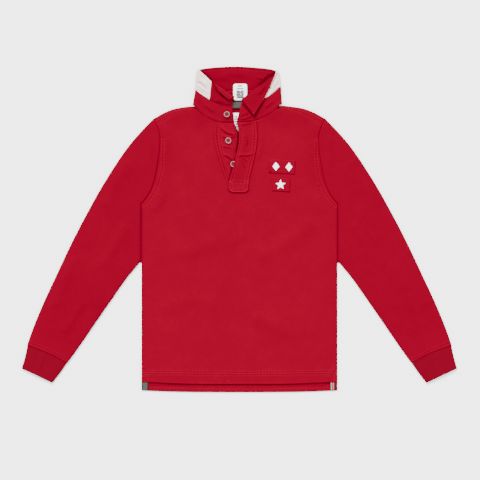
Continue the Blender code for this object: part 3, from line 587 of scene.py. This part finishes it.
def stroke_tone(node, xy):
    """How much paler the strokes above 0, and darker the strokes of painted shade below 0, turn the points
    of this piece.
    """
    tone = np.zeros(len(xy))
    for wide, strength, line in STROKES.get(node, ()):
        path = smooth_path(line)
        d, run, side = distance(xy, path, 3 * wide)
        tone += strength * bell(d, wide) * end_fade(run, path, STROKE_PAST, wide + STROKE_FADE)
    return tone


def sewing(node, xy, up):
    """How far this piece's sewing lifts and presses its points, and how that changes their colour: paler
    worn ridges, and painted shade in the groove.
    """
    shift, tone = np.zeros(len(xy)), np.zeros(len(xy))
    for name, depth, wide, pucker, line in SEAMS.get(node, ()):
        d, run, side = distance(xy, smooth_path(line), SEAM_REACH)
        drift = PUCKER_DRIFT * np.sin(run / DRIFT_LENGTH)
        wave = np.sin(run * 2 * math.pi / PUCKER_PITCH + drift + len(name))
        shift += up * (pucker * (PUCKER_LEVEL + wave) * bell(d, PUCKER_WIDTH) - depth * bell(d, wide))
        # Pale worn ridges beside the seam, and painted shade in its groove.
        ridges = RIDGE_TONE * bell(d - RIDGE_OFF, RIDGE_WIDTH) * (1 + RIDGE_WAVE * wave)
        tone += ridges - GROOVE_PAINTED_SHADE * bell(d, GROOVE_WIDTH)
    return shift, tone


def put(name, mesh, look, stands_for=None):
    """Adds a piece with one material; stands_for: the node of the solid that it replaces."""
    mesh.materials.clear()
    mesh.materials.append(look)
    thing = linked(name, mesh)
    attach(thing, "root")
    if stands_for:
        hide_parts(stands_for)
    return thing


def dressed(node, levels, look, lift=True, pressed=0.0):
    """The cloth piece that stands for a solid: finer, with its swells, folds, grooves and puckers, and a
    worn attribute that holds both worn paleness and painted shade.

    pressed: how far it is pressed into the cloth below it.
    """
    mesh = smoothed(node, levels)
    lines = [seam[-1] for seam in SEAMS.get(node, ())]
    lines += [row[-1] for table in (STROKES, FOLDS) for row in table.get(node, ()) if row[0] < FINE_WIDTH]
    if lines:
        refined(mesh, [smooth_path(line) for line in lines])
    points, normals = mm_array(mesh)
    xy = points[:, :2]
    up = ease((normals[:, 2] - UP_LOW) / UP_BLEND)
    shift, tone = sewing(node, xy, up)
    rise, deep = fold_rise(node, xy)
    # The worn attribute gains the strokes, and loses painted shade on the shaded sides of folds and where
    # the cloth rolls over.
    tone += stroke_tone(node, xy) - deep - EDGE_PAINTED_SHADE * up * (1 - normals[:, 2]) ** 0.5
    if node in TUBES:
        weight = ease((points[:, 2] - TUBE_LOW) / TUBE_BLEND)
    else:
        weight = np.full(len(points), 1.0 if lift else 0.0)
    points[:, 2] += shift + weight * (ripple(xy[:, 0], xy[:, 1]) + rise)
    points[:, 2] = np.maximum(points[:, 2] - pressed, 0)
    mesh.vertices.foreach_set("co", (points * MM).ravel())
    # The worn attribute: paler worn places above 0, painted shade below 0.
    worn = mesh.attributes.new("worn", "FLOAT", "POINT")
    worn.data.foreach_set("value", tone)
    mesh.shade_smooth()
    mesh.set_sharp_from_angle(angle=RIM_TURN)
    mesh.polygons.foreach_set("material_index", [0] * len(mesh.polygons))
    thing = put(node + "_cloth", mesh, LOOKS[look], node)
    return thing


# Colours as linear light: the red cloth, its worn ridges, and its deeper tone, which also gives the colour
# of painted shade; and the same of the ribbed cuffs.
RED = (0.116, 0.0001, 0.0069)
RED_WORN = (0.135, 0.000168, 0.00842)
RED_DEEP = (0.0976, 0.0001, 0.00555)
CUFF_RED = (0.0854, 0.0011, 0.0060)
CUFF_WORN = (0.0961, 0.0013, 0.0070)
CUFF_DEEP = (0.0763, 0.0009, 0.0050)
BLACK = (0.006, 0.0055, 0.005)
TAUPE = (0.050, 0.041, 0.036)
SLEEVE_TURN = math.radians(28)
# Turn of the knit in each red material, and its colour as a share of the front's.
RED_PIECES = {
    "body": (0.0, 1.0), "back": (0.0, 0.97), "collar": (0.0, 0.87), "sleeve_l": (-SLEEVE_TURN, 0.93),
    "sleeve_r": (SLEEVE_TURN, 0.93), "band": (math.radians(35), 0.96),
}
KNIT_ROUGHNESS = 0.86
SHEEN_ROUGHNESS = 0.55
SHEEN_PALENESS = 0.7  # power that takes the sheen's colour from the cloth's
WAVES_PER_UNIT = 3.183  # 10 / pi: waves in a unit of length at a wave texture's scale of 1


def scaled(colour, share):
    return tuple(share * c for c in colour)


def node_tree(name, colour, roughness, sheen, specular=0.0):
    """A new material with its shader's own values set, and handles to build its nodes."""
    made = bpy.data.materials.new(name)
    made.use_nodes = True
    shader = made.node_tree.nodes["Principled BSDF"]
    values = {
        "Base Color": (*colour, 1), "Roughness": roughness, "Metallic": 0.0, "Sheen Weight": sheen,
        "Sheen Roughness": SHEEN_ROUGHNESS, "Specular IOR Level": specular,
        "Sheen Tint": (*[(c / max(colour)) ** SHEEN_PALENESS for c in colour], 1),
    }
    for socket, value in values.items():
        shader.inputs[socket].default_value = value
    return made, made.node_tree, shader


def fill(tree, socket, value):
    """Gives an input a value, or links it where the value is another node's output."""
    if isinstance(value, bpy.types.NodeSocket):
        tree.links.new(value, socket)
    else:
        socket.default_value = value


def add(tree, kind, inputs=(), **settings):
    node = tree.nodes.new(kind)
    for name, value in settings.items():
        setattr(node, name, value)
    for name, value in dict(inputs).items():
        fill(tree, node.inputs[name], value)
    return node


def place(tree):
    """The place on the garment."""
    return add(tree, "ShaderNodeTexCoord").outputs["Object"]


def turned_place(tree, where, turn):
    """The place along and across a cloth that is turned by this angle."""
    return add(tree, "ShaderNodeMapping", {"Vector": where, "Rotation": (0, 0, -turn)}).outputs["Vector"]


def noise(tree, where, size, detail=3.0, rough=0.6, stretch=None):
    """Noise whose blobs are about this many millimetres across."""
    if stretch:
        where = add(tree, "ShaderNodeMapping", {"Vector": where, "Scale": stretch}).outputs["Vector"]
    inputs = {"Vector": where, "Scale": 1 / (size * MM), "Detail": detail, "Roughness": rough}
    return add(tree, "ShaderNodeTexNoise", inputs).outputs["Fac"]


def ribs(tree, where, pitch, direction, distortion, finer=()):
    """Ribs at this pitch across one direction of the cloth."""
    scale = 1 / (pitch * MM) / WAVES_PER_UNIT
    inputs = {"Vector": where, "Scale": scale, "Distortion": distortion, **dict(finer)}
    made = add(tree, "ShaderNodeTexWave", inputs, wave_type="BANDS", bands_direction=direction)
    return made.outputs["Fac"]


def blend(tree, factor, a, b):
    """The mix of two colours: a at factor 0, b at factor 1."""
    made = add(tree, "ShaderNodeMix", data_type="RGBA", blend_type="MIX")
    fill(tree, made.inputs[0], factor)
    for index, value in ((6, a), (7, b)):
        fill(tree, made.inputs[index], (*value, 1) if isinstance(value, tuple) else value)
    return made.outputs[2]


def maths(tree, kind, *values):
    made = add(tree, "ShaderNodeMath", operation=kind)
    for index, value in enumerate(values):
        fill(tree, made.inputs[index], value)
    return made.outputs[0]


def layered(tree, *layers):
    """The sum of several outputs, each times its own share."""
    total = maths(tree, "MULTIPLY", *layers[-1])
    for value, share in reversed(layers[:-1]):
        total = maths(tree, "MULTIPLY_ADD", value, share, total)
    return total


def spread(tree, value, low, high, to_low, to_high):
    """The value's range from low to high, drawn out over another range."""
    inputs = {"Value": value, "From Min": low, "From Max": high, "To Min": to_low, "To Max": to_high}
    return add(tree, "ShaderNodeMapRange", inputs).outputs["Result"]


def raised(tree, shader, height, strength, depth):
    """Bump of this depth, from a height between 0 and 1."""
    bump = add(tree, "ShaderNodeBump", {"Height": height, "Strength": strength, "Distance": depth * MM})
    tree.links.new(bump.outputs["Normal"], shader.inputs["Normal"])


def dyed(name, colour, worn, deep, turn, pitch, rib, mottle=0.5):
    """Garment-dyed knit: slow mottling, heathered yarn, wales at a real pitch, paler worn places, and
    painted shade where the worn attribute is below 0.
    """
    made, tree, shader = node_tree(name, colour, KNIT_ROUGHNESS, 0.08)
    where = place(tree)
    turned = turned_place(tree, where, turn)
    slow = noise(tree, where, 70)
    patchy = noise(tree, where, 16, 4, 0.62)
    heather = noise(tree, turned, 1.5, 2, stretch=(1.0, 0.35, 1.0))
    tone = layered(tree, (slow, 0.9), (patchy, 0.9), (heather, 0.55))
    tone = spread(tree, tone, 0.85, 1.5, 0.5 - 0.5 * mottle, 0.5 + 0.5 * mottle)
    shade = blend(tree, 0.55, blend(tree, tone, deep, worn), colour)
    wear_and_shade = add(tree, "ShaderNodeAttribute", attribute_name="worn").outputs["Fac"]
    rubbed = maths(tree, "MULTIPLY", wear_and_shade, spread(tree, patchy, 0.3, 0.7, 0.5, 1.2))
    palest = tuple(min(1, 1.25 * c + 0.002) for c in worn)
    shade = blend(tree, spread(tree, rubbed, 0, 1, 0, 0.6), shade, palest)
    # Painted shade: below 0 the worn attribute darkens the colour towards a near-black red.
    shade = blend(tree, spread(tree, wear_and_shade, -1.4, 0, 0.95, 0), shade, scaled(deep, 0.12))
    tree.links.new(shade, shader.inputs["Base Color"])
    roughness = spread(tree, patchy, 0.3, 0.7, KNIT_ROUGHNESS - 0.05, KNIT_ROUGHNESS + 0.07)
    tree.links.new(roughness, shader.inputs["Roughness"])
    wales = ribs(tree, turned, pitch, "X", 0.6, {"Detail": 1.0, "Detail Scale": 1.5})
    courses = ribs(tree, turned, 0.8 * pitch, "Y", 1.0, {"Detail": 1.0})
    fuzz = noise(tree, where, 0.7, 2, 0.7)
    soft = noise(tree, where, 7)
    height = layered(tree, (wales, rib), (courses, 0.3 * rib), (fuzz, 0.45), (soft, 2.2))
    raised(tree, shader, height, 0.7, 0.16)
    return made


def twill(name, colour, shadow, turn, pitch=1.1):
    """Woven twill: diagonal ribs crossed by fine yarn, soft grey patches of painted crease shade, and
    painted shade where the worn attribute is below 0.
    """
    made, tree, shader = node_tree(name, colour, 0.85, 0.05)
    where = place(tree)
    turned = turned_place(tree, where, turn)
    patchy = noise(tree, where, 12, 4)
    lines = ribs(tree, turned, pitch, "DIAGONAL", 0.4)
    yarn = noise(tree, turned, 0.8, 2, stretch=(1.0, 0.3, 1.0))
    shade = blend(tree, spread(tree, patchy, 0.35, 0.75, 0, 0.55), colour, shadow)
    shade = blend(tree, spread(tree, maths(tree, "ADD", lines, yarn), 0.4, 1.4, 0.22, 0.0), shade, shadow)
    wear_and_shade = add(tree, "ShaderNodeAttribute", attribute_name="worn").outputs["Fac"]
    # Painted shade: below 0 the worn attribute darkens the colour towards the shadow colour.
    shade = blend(tree, spread(tree, wear_and_shade, -1, 0, 0.9, 0), shade, scaled(shadow, 0.45))
    tree.links.new(shade, shader.inputs["Base Color"])
    raised(tree, shader, layered(tree, (lines, 1.0), (yarn, 0.6), (noise(tree, where, 6), 2.5)), 0.7, 0.14)
    return made


def plain(name, colour, roughness, sheen=0.0, grain=0.5):
    """A smooth part with slight variation in tone and a fine grain."""
    made, tree, shader = node_tree(name, colour, roughness, sheen)
    where = place(tree)
    patchy = spread(tree, noise(tree, where, 5), 0.3, 0.7, 0.0, 0.3)
    tree.links.new(blend(tree, patchy, colour, scaled(colour, 0.7)), shader.inputs["Base Color"])
    raised(tree, shader, noise(tree, where, 0.9, 2), grain, 0.08)
    return made


def striped(name, start, stops, turn=0.0):
    """A narrow tape: lengthwise stripes, each from its own distance past the start, over a fine weave."""
    made, tree, shader = node_tree(name, stops[0][1], 0.8, 0.1)
    turned = turned_place(tree, place(tree), turn)
    x = add(tree, "ShaderNodeSeparateXYZ", {"Vector": turned}).outputs["X"]
    shade = stops[0][1]
    for edge, colour in stops[1:]:
        shade = blend(tree, maths(tree, "GREATER_THAN", x, (start + edge) * MM), shade, colour)
    weave = ribs(tree, turned, 0.7, "Y", 0.4)
    shade = blend(tree, spread(tree, weave, 0, 1, 0.3, 0.0), shade, (0.01, 0.01, 0.01))
    tree.links.new(shade, shader.inputs["Base Color"])
    raised(tree, shader, weave, 0.6, 0.1)
    return made


def two_tone(name, colour, roughness, specular, low, high, size, contrast):
    """Resin with blotches of two colours; contrast: the range of noise that is drawn out between them."""
    made, tree, shader = node_tree(name, colour, roughness, 0.0, specular)
    blotches = spread(tree, noise(tree, place(tree), size, rough=0.55), *contrast, 0, 1)
    tree.links.new(blend(tree, blotches, low, high), shader.inputs["Base Color"])
    return made


LOOKS = {}
for key, (turn, depth) in RED_PIECES.items():
    LOOKS[key] = dyed("jersey_" + key, scaled(RED, depth), scaled(RED_WORN, depth), scaled(RED_DEEP, depth),
                      turn, 0.9, 0.9)
LOOKS["cuff_l"] = dyed("rib_left", CUFF_RED, CUFF_WORN, CUFF_DEEP, -SLEEVE_TURN, 2.3, 1.0, 0.4)
LOOKS["cuff_r"] = dyed("rib_right", CUFF_RED, CUFF_WORN, CUFF_DEEP, SLEEVE_TURN, 2.3, 1.0, 0.4)
LOOKS["twill"] = twill("white_twill", (0.735, 0.565, 0.54), (0.40, 0.28, 0.26), 0.4)
LOOKS["satin"] = twill("white_satin_stitch", (0.92, 0.90, 0.88), (0.58, 0.50, 0.50), 0.9, 0.6)
# The turnings: the red jersey darkened as painted shade, for the gaps in which they lie.
LOOKS["turning"] = dyed("jersey_turnings", scaled(RED, 0.72), scaled(RED, 0.80), scaled(RED, 0.6),
                        0.0, 0.9, 0.9)
LOOKS["label"] = plain("woven_label", (0.84, 0.81, 0.82), 0.7, 0.05)
SLOT_OF = {key: "red_jersey" for key in RED_PIECES}
SLOT_OF.update(cuff_l="dark_red_rib", cuff_r="dark_red_rib", twill="white_twill", satin="white_twill",
               label="label_white")

shells = [
    dressed("back_panel", 3, "back", lift=False),
    dressed("front_panel", 3, "body"),
    dressed("sleeve_left", 3, "sleeve_l"),
    dressed("sleeve_right", 3, "sleeve_r"),
    dressed("cuff_left", 3, "cuff_l"),
    dressed("cuff_right", 3, "cuff_r"),
    dressed("band_inner", 2, "band", lift=False),
    dressed("band_outer", 2, "band"),
    dressed("top_collar", 2, "collar"),
    dressed("under_collar", 2, "twill"),
    dressed("under_collar_left_front", 2, "collar"),
    dressed("under_collar_right_front", 2, "collar"),
    dressed("placket_under", 3, "body"),
    dressed("placket_over", 3, "body", pressed=0.75),
    dressed("chest_patch_upper", 2, "body", pressed=0.8),
    dressed("chest_patch_lower", 2, "body", pressed=0.8),
    dressed("patch_star", 2, "satin", pressed=0.9),
    dressed("neck_label", 2, "label", lift=False),
    dressed("inner_label", 2, "label", lift=False),
]
SHELL = {shell.name[:-len("_cloth")]: shell for shell in shells}
TREES = {}
DROP_FROM = 0.05  # metres
UP = Vector((0, 0, 1))


def surface(piece, x, y):
    """The point on top of a dressed piece at this place, and its normal, or nothing beside it."""
    if piece not in TREES:
        mesh = SHELL[piece].data
        corners = [polygon.vertices for polygon in mesh.polygons]
        TREES[piece] = BVHTree.FromPolygons([v.co for v in mesh.vertices], corners)
    return TREES[piece].ray_cast(Vector((x * MM, y * MM, DROP_FROM)), -UP)[:2]


# A stitch from end to end: the share of its length, the share of its radius, and how far it rises, in radii.
CAPSULE = [(-0.5, 0.3, -1.0), (-0.4, 0.85, -0.1), (0.0, 1.0, 0.35), (0.4, 0.85, -0.1), (0.5, 0.3, -1.0)]
CAPSULE_ANGLES = [k * math.pi / 3 for k in range(6)]


def tube(points, faces, rings):
    """Adds rings of points that are joined one after the other and closed at both ends."""
    sides, first = len(rings[0]), len(points)
    starts = [first + k * sides for k in range(len(rings))]
    points += [point for ring in rings for point in ring]
    for a, b in zip(starts[:-1], starts[1:]):
        faces += [(a + j, a + (j + 1) % sides, b + (j + 1) % sides, b + j) for j in range(sides)]
    faces.append([first + j for j in reversed(range(sides))])
    faces.append([starts[-1] + j for j in range(sides)])


def bar(points, faces, spot, along, normal, length, radius):
    """Adds one stitch: a short rounded length of thread whose ends dip into the cloth."""
    along = (along - along.dot(normal) * normal).normalized()
    aside = along.cross(normal)
    rings = []
    for share, size, dip in CAPSULE:
        middle = spot + along * (share * length * MM) + normal * (dip * radius * MM)
        rings.append([middle + (aside * math.cos(a) + normal * math.sin(a)) * (size * radius * MM)
                      for a in CAPSULE_ANGLES])
    tube(points, faces, rings)


def row_of_stitches(points, faces, piece, path, pitch=STITCH_PITCH, length=0.72, radius=THREAD_RADIUS):
    """Adds a row of stitches along a path; length: each one's, as a share of the pitch."""
    run = smooth_path(path, pitch)
    for k in range(len(run) - 1):
        a, b = run[k], run[k + 1]
        x, y = (a + b) / 2 + STITCH_WANDER * np.array([math.sin(k * 2.4), math.cos(k * 1.7)])
        spot, normal = surface(piece, x, y)
        if spot is not None and normal.z > 0.2:
            bar(points, faces, spot, Vector((*(b - a), 0)).normalized(), normal, pitch * length, radius)


def mesh_of(name, points, faces):
    mesh = bpy.data.meshes.new(name)
    mesh.from_pydata([tuple(p) for p in points], [], faces)
    return mesh


def joined_bars(name, points, faces, look, slot):
    mesh = mesh_of(name, points, faces)
    mesh.shade_smooth()
    return put(name, mesh, look)


def inset(corners, by):
    """The corners of a four-sided piece moved inward by the same distance from each side."""
    c = np.array(corners, float)
    inner = []
    for k in range(4):
        back, here, ahead = c[k - 1], c[k], c[(k + 1) % 4]
        u = (back - here) / np.linalg.norm(back - here)
        v = (ahead - here) / np.linalg.norm(ahead - here)
        inner.append(here + (u + v) * by)
    return inner


THREADS = {
    "red": (plain("thread_red", (0.150, 0.0002, 0.0075), 0.6, 0.05), "red_jersey"),
    "grey": (plain("thread_grey", (0.40, 0.31, 0.30), 0.6, 0.1), "white_twill"),
    "pale": (plain("thread_pale", (0.72, 0.66, 0.66), 0.6, 0.1), "label_white"),
}
RED_THREAD = THREADS["red"][0]
BORDER_STITCH = (2.2, 0.75, 0.2)  # pitch, length as a share of it, and radius
SATIN_STITCH = (1.2, 0.9, 0.28)
for thread, (thread_look, thread_slot) in THREADS.items():
    points, faces = [], []
    for piece, rows in SEAMS.items():
        if THREAD_OF.get(piece, "red") == thread:
            for row in rows:
                row_of_stitches(points, faces, piece, row[-1])
    for border in BORDERS:
        if border.thread == thread:
            corners = inset(border.corners, border.inset)
            for side in zip(corners, corners[1:] + corners[:1]):
                row_of_stitches(points, faces, border.piece, side, *BORDER_STITCH)
    if thread == "red":
        row_of_stitches(points, faces, "chest_patch_upper", PATCH_JOIN, *SATIN_STITCH)
    joined_bars("stitches_" + thread, points, faces, thread_look, thread_slot)

SEWN = (*TUBES, "back_panel", "front_panel", "band_inner", "band_outer", "top_collar", "under_collar",
        "under_collar_left_front", "placket_under", "placket_over")


def height_over(x, y):
    """Height of the topmost cloth at a place."""
    return max((surface(piece, x, y)[0] or Vector()).z / MM for piece in SEWN)


def turning(name, half, drop, path):
    """The narrow strip of turned-in cloth that shows between two sewn edges, a little below both, in red
    darkened as painted shade.
    """
    run = smooth_path(path, TURNING_STEP)
    along = np.gradient(run, axis=0)
    aside = np.stack([-along[:, 1], along[:, 0]], axis=1) / np.linalg.norm(along, axis=1, keepdims=True)
    rings = []
    for spot, off in zip(run, aside):
        heights = [height_over(*(spot + share * half * off)) for share in TURNING_LOOK]
        ring = []
        for side, felt in ((-1, max(heights[:2])), (1, max(heights[2:]))):
            top = (felt if felt > LOWEST_JOIN else max(heights)) - drop
            ring += [(*(spot + side * half * off), top), (*(spot + side * half * off), top - TURNING_THICK)]
        rings.append([ring[0], ring[1], ring[3], ring[2]])
    strip(name, rings)


def strip(name, rings):
    points, faces = [], []
    tube(points, faces, [[Vector(point) * MM for point in ring] for ring in rings])
    put(name, mesh_of(name, points, faces), LOOKS["turning"])


for join in JOINS:
    turning(*join)
for name, sign in (("side_join_left", -1), ("side_join_right", 1)):
    rings = []
    for y, extra in UNDERARM_SIDE:
        inner, outer = sign * SIDE_INNER, sign * (SIDE_OUTER + extra)
        corners = ((inner, SIDE_LOW), (outer, SIDE_LOW), (outer, SIDE_TOP), (inner, SIDE_TOP))
        rings.append([(x, y, z) for x, z in corners])
    strip(name, rings)

hole_points, hole_faces, slit_points, slit_faces = [], [], [], []
for piece, middle, half in HOLES:
    middle, half = Vector(middle), Vector(half)
    along, aside = half.normalized(), UP.cross(half).normalized()
    count = int(half.length / HOLE_STITCH_PITCH)
    for k in range(-count, count + 1):
        for side in (-1, 1):
            at = middle + half * (k / count) + aside * (HOLE_EDGE * side)
            spot, normal = surface(piece, at.x, at.y)
            if spot is not None:
                bar(hole_points, hole_faces, spot, aside, normal, *HOLE_STITCH)
    # Bars of near-black red along each slit: painted shade inside the buttonhole.
    for k in range(-SLIT_STEPS, SLIT_STEPS + 1):
        at = middle + half * (SLIT_SHARE * k / SLIT_STEPS)
        spot, normal = surface(piece, at.x, at.y)
        if spot is not None:
            spot += normal * SLIT_RISE
            bar(slit_points, slit_faces, spot, along, normal, half.length / 5, SLIT_RADIUS)
joined_bars("buttonhole_thread", hole_points, hole_faces, RED_THREAD, "red_jersey")
slit_look = plain("slit_shade", (0.075, 0.0005, 0.004), 0.9)
joined_bars("buttonhole_slit", slit_points, slit_faces, slit_look, "red_jersey")

marks = {"label_bars": ([], []), "label_heading": ([], [])}
for label, rows in BARS.items():
    for y, start, end, thick in rows:
        heading = (label, y) == ("neck_label", rows[0][0])
        for k in range(int((end - start) / BAR_PITCH)):
            spot, normal = surface(label, start + BAR_PITCH * (k + 0.5), y)
            if spot is not None:
                bar(*marks["label_heading" if heading else "label_bars"], spot + normal * BAR_RISE,
                    Vector((0, 1, 0)), normal, thick, BAR_RADIUS)
ink = plain("label_ink", (0.085, 0.080, 0.092), 0.8)
joined_bars("label_bars", *marks["label_bars"], ink, "label_white")
joined_bars("label_heading", *marks["label_heading"], RED_THREAD, "label_white")


def lathe(profile, sides):
    """Points and faces of a turned solid from (radius, height) pairs; the first and last lie on the axis."""
    points, faces = [(0, 0, profile[0][1])], []
    for r, z in profile[1:-1]:
        points += [(r * math.cos(2 * math.pi * k / sides), r * math.sin(2 * math.pi * k / sides), z)
                   for k in range(sides)]
    points.append((0, 0, profile[-1][1]))
    rings = len(profile) - 2
    for k in range(sides):
        n = (k + 1) % sides
        faces.append((0, 1 + n, 1 + k))
        for j in range(rings - 1):
            a, b = 1 + j * sides, 1 + (j + 1) * sides
            faces.append((a + k, a + n, b + n, b + k))
        faces.append((1 + (rings - 1) * sides + k, 1 + (rings - 1) * sides + n, len(points) - 1))
    return points, faces


def button_body(node, middle, spots, look):
    """The resin disc, hollowed inside its rim and drilled at the spots."""
    points, faces = lathe(BUTTON_SECTION, BUTTON_SIDES)
    mesh = mesh_of(node + "_body", [(Vector(p) + middle) * MM for p in points], faces)
    mesh.shade_smooth()
    mesh.set_sharp_from_angle(angle=BUTTON_EDGE)
    body = put(node + "_body", mesh, look, node)
    cut = bmesh.new()
    for x, y in spots:
        made = bmesh.ops.create_cone(cut, cap_ends=True, segments=HOLE_SIDES, radius1=HOLE_RADIUS * MM,
                                     radius2=HOLE_RADIUS * MM, depth=2 * BUTTON_HEIGHT * MM)
        bmesh.ops.translate(cut, verts=made["verts"], vec=Vector((x, y, middle.z + BUTTON_HEIGHT / 2)) * MM)
    drill_mesh = bpy.data.meshes.new("drill")
    cut.to_mesh(drill_mesh)
    cut.free()
    drill = linked("drill", drill_mesh)
    bore = body.modifiers.new("bore", "BOOLEAN")
    bore.object = drill
    bore.operation = "DIFFERENCE"
    bored = bpy.data.meshes.new_from_object(body.evaluated_get(bpy.context.evaluated_depsgraph_get()))
    body.modifiers.clear()
    body.data = bored
    bpy.data.objects.remove(drill, do_unlink=True)


def button_rim(node, top, look):
    """The raised rim, twisted like a rope."""
    points, faces = [], []
    for k in range(RIM_AROUND):
        a = 2 * math.pi * k / RIM_AROUND
        swell = RIM_SWELL * math.sin(RIM_TWISTS * a)
        for j in range(RIM_SECTION):
            s = 2 * math.pi * j / RIM_SECTION
            thick = RIM_HALF + RIM_STRAND * math.sin(RIM_TWISTS * a + s)
            r = RIM_RADIUS + thick * math.cos(s)
            z = RIM_FLATNESS * thick * math.sin(s) + swell - RIM_DROP
            points.append((top + Vector((r * math.cos(a), r * math.sin(a), z))) * MM)
            k2, j2 = (k + 1) % RIM_AROUND, (j + 1) % RIM_SECTION
            faces.append([p * RIM_SECTION + q for p, q in ((k, j), (k2, j), (k2, j2), (k, j2))])
    joined_bars(node + "_rim", points, faces, look, "button_red")


def button_thread(node, top, spots):
    """Four threads, crossed in two pairs between the holes."""
    points, faces = [], []
    for p, q in ((0, 2), (1, 3)):
        start, end = Vector((*spots[p], 0)), Vector((*spots[q], 0))
        run = (end - start).normalized()
        for off in (-TIE_OFF, TIE_OFF):
            middle = ((start + end) / 2 + UP.cross(run) * off) * MM
            middle.z = (top.z - TIE_DROP) * MM
            bar(points, faces, middle, run, UP, 2 * HOLE_SPREAD, BAR_RADIUS)
    joined_bars(node + "_thread", points, faces, RED_THREAD, "button_red")


resin = two_tone("button_resin", (0.06, 0.001, 0.004), 0.4, 0.25,
                 (0.045, 0.001, 0.003), (0.085, 0.002, 0.006), 2.5, (0, 1))
rim = two_tone("button_rim", (0.62, 0.44, 0.37), 0.45, 0.3, (0.36, 0.24, 0.20), (0.14, 0.015, 0.02),
               1.2, (0.35, 0.65))
for node, (x, y, turn) in BUTTONS.items():
    base = Vector((x, y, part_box(node)[0][2] / MM + float(ripple(np.array([x]), np.array([y]))[0])))
    top = base + UP * BUTTON_HEIGHT
    quarters = [math.radians(turn) + q * math.pi / 2 for q in range(4)]
    spots = [(x + HOLE_SPREAD * math.cos(a), y + HOLE_SPREAD * math.sin(a)) for a in quarters]
    button_body(node, base, spots, resin)
    button_rim(node, top, rim)
    button_thread(node, top, spots)

NECK_STRIPES = [(0, BLACK), (2.0, TAUPE), (16.2, BLACK)]
LEFT_STRIPES = [(0, BLACK), (2.2, TAUPE), (13.6, BLACK)]
RIGHT_STRIPES = [(0, BLACK), (1.5, (0.30, 0.24, 0.20)), (3.6, (0.08, 0.002, 0.006)),
                 (5.4, (0.36, 0.06, 0.075)), (9.6, BLACK), (13.4, RED)]
for node, look in (
    ("neck_tape", striped("tape_neck", 289.2, NECK_STRIPES, math.pi / 2)),
    ("vent_tape_left", striped("tape_left", -234.2, LEFT_STRIPES)),
    ("vent_tape_right", striped("tape_right", 217.7, RIGHT_STRIPES)),
    ("patch_lozenge_1", LOOKS["satin"]),
    ("patch_lozenge_2", LOOKS["satin"]),
):
    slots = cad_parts[node].data.materials
    slots.clear()
    slots.append(look)

bpy.ops.mesh.primitive_plane_add(size=FLOOR_SIZE, location=(0, 0, -FLOOR_DROP))
floor = bpy.context.object
floor.name = "floor"
floor.data.materials.append(node_tree("floor", (FLOOR_TONE,) * 3, 0.9, 0.0)[0])

lens = bpy.data.cameras.new("camera")
lens.sensor_width = SENSOR
lens.lens = SENSOR * CAMERA_HEIGHT / VIEW_WIDTH
lens.clip_end = CLIP_END
camera = linked("camera", lens)
camera.location = (VIEW_X * MM, VIEW_Y * MM, CAMERA_HEIGHT * MM)
bpy.context.scene.camera = camera

world = bpy.data.worlds.new("world")
world.use_nodes = True
sky = world.node_tree.nodes["Background"]
sky.inputs["Color"].default_value = (1, 1, 1, 1)
sky.inputs["Strength"].default_value = SKY_STRENGTH
bpy.context.scene.world = world
sun = bpy.data.lights.new("key", "SUN")
sun.energy = SUN_STRENGTH
sun.angle = SUN_ANGLE
linked("key", sun).rotation_euler = Vector(SUN_DIRECTION).to_track_quat("-Z", "Y").to_euler()
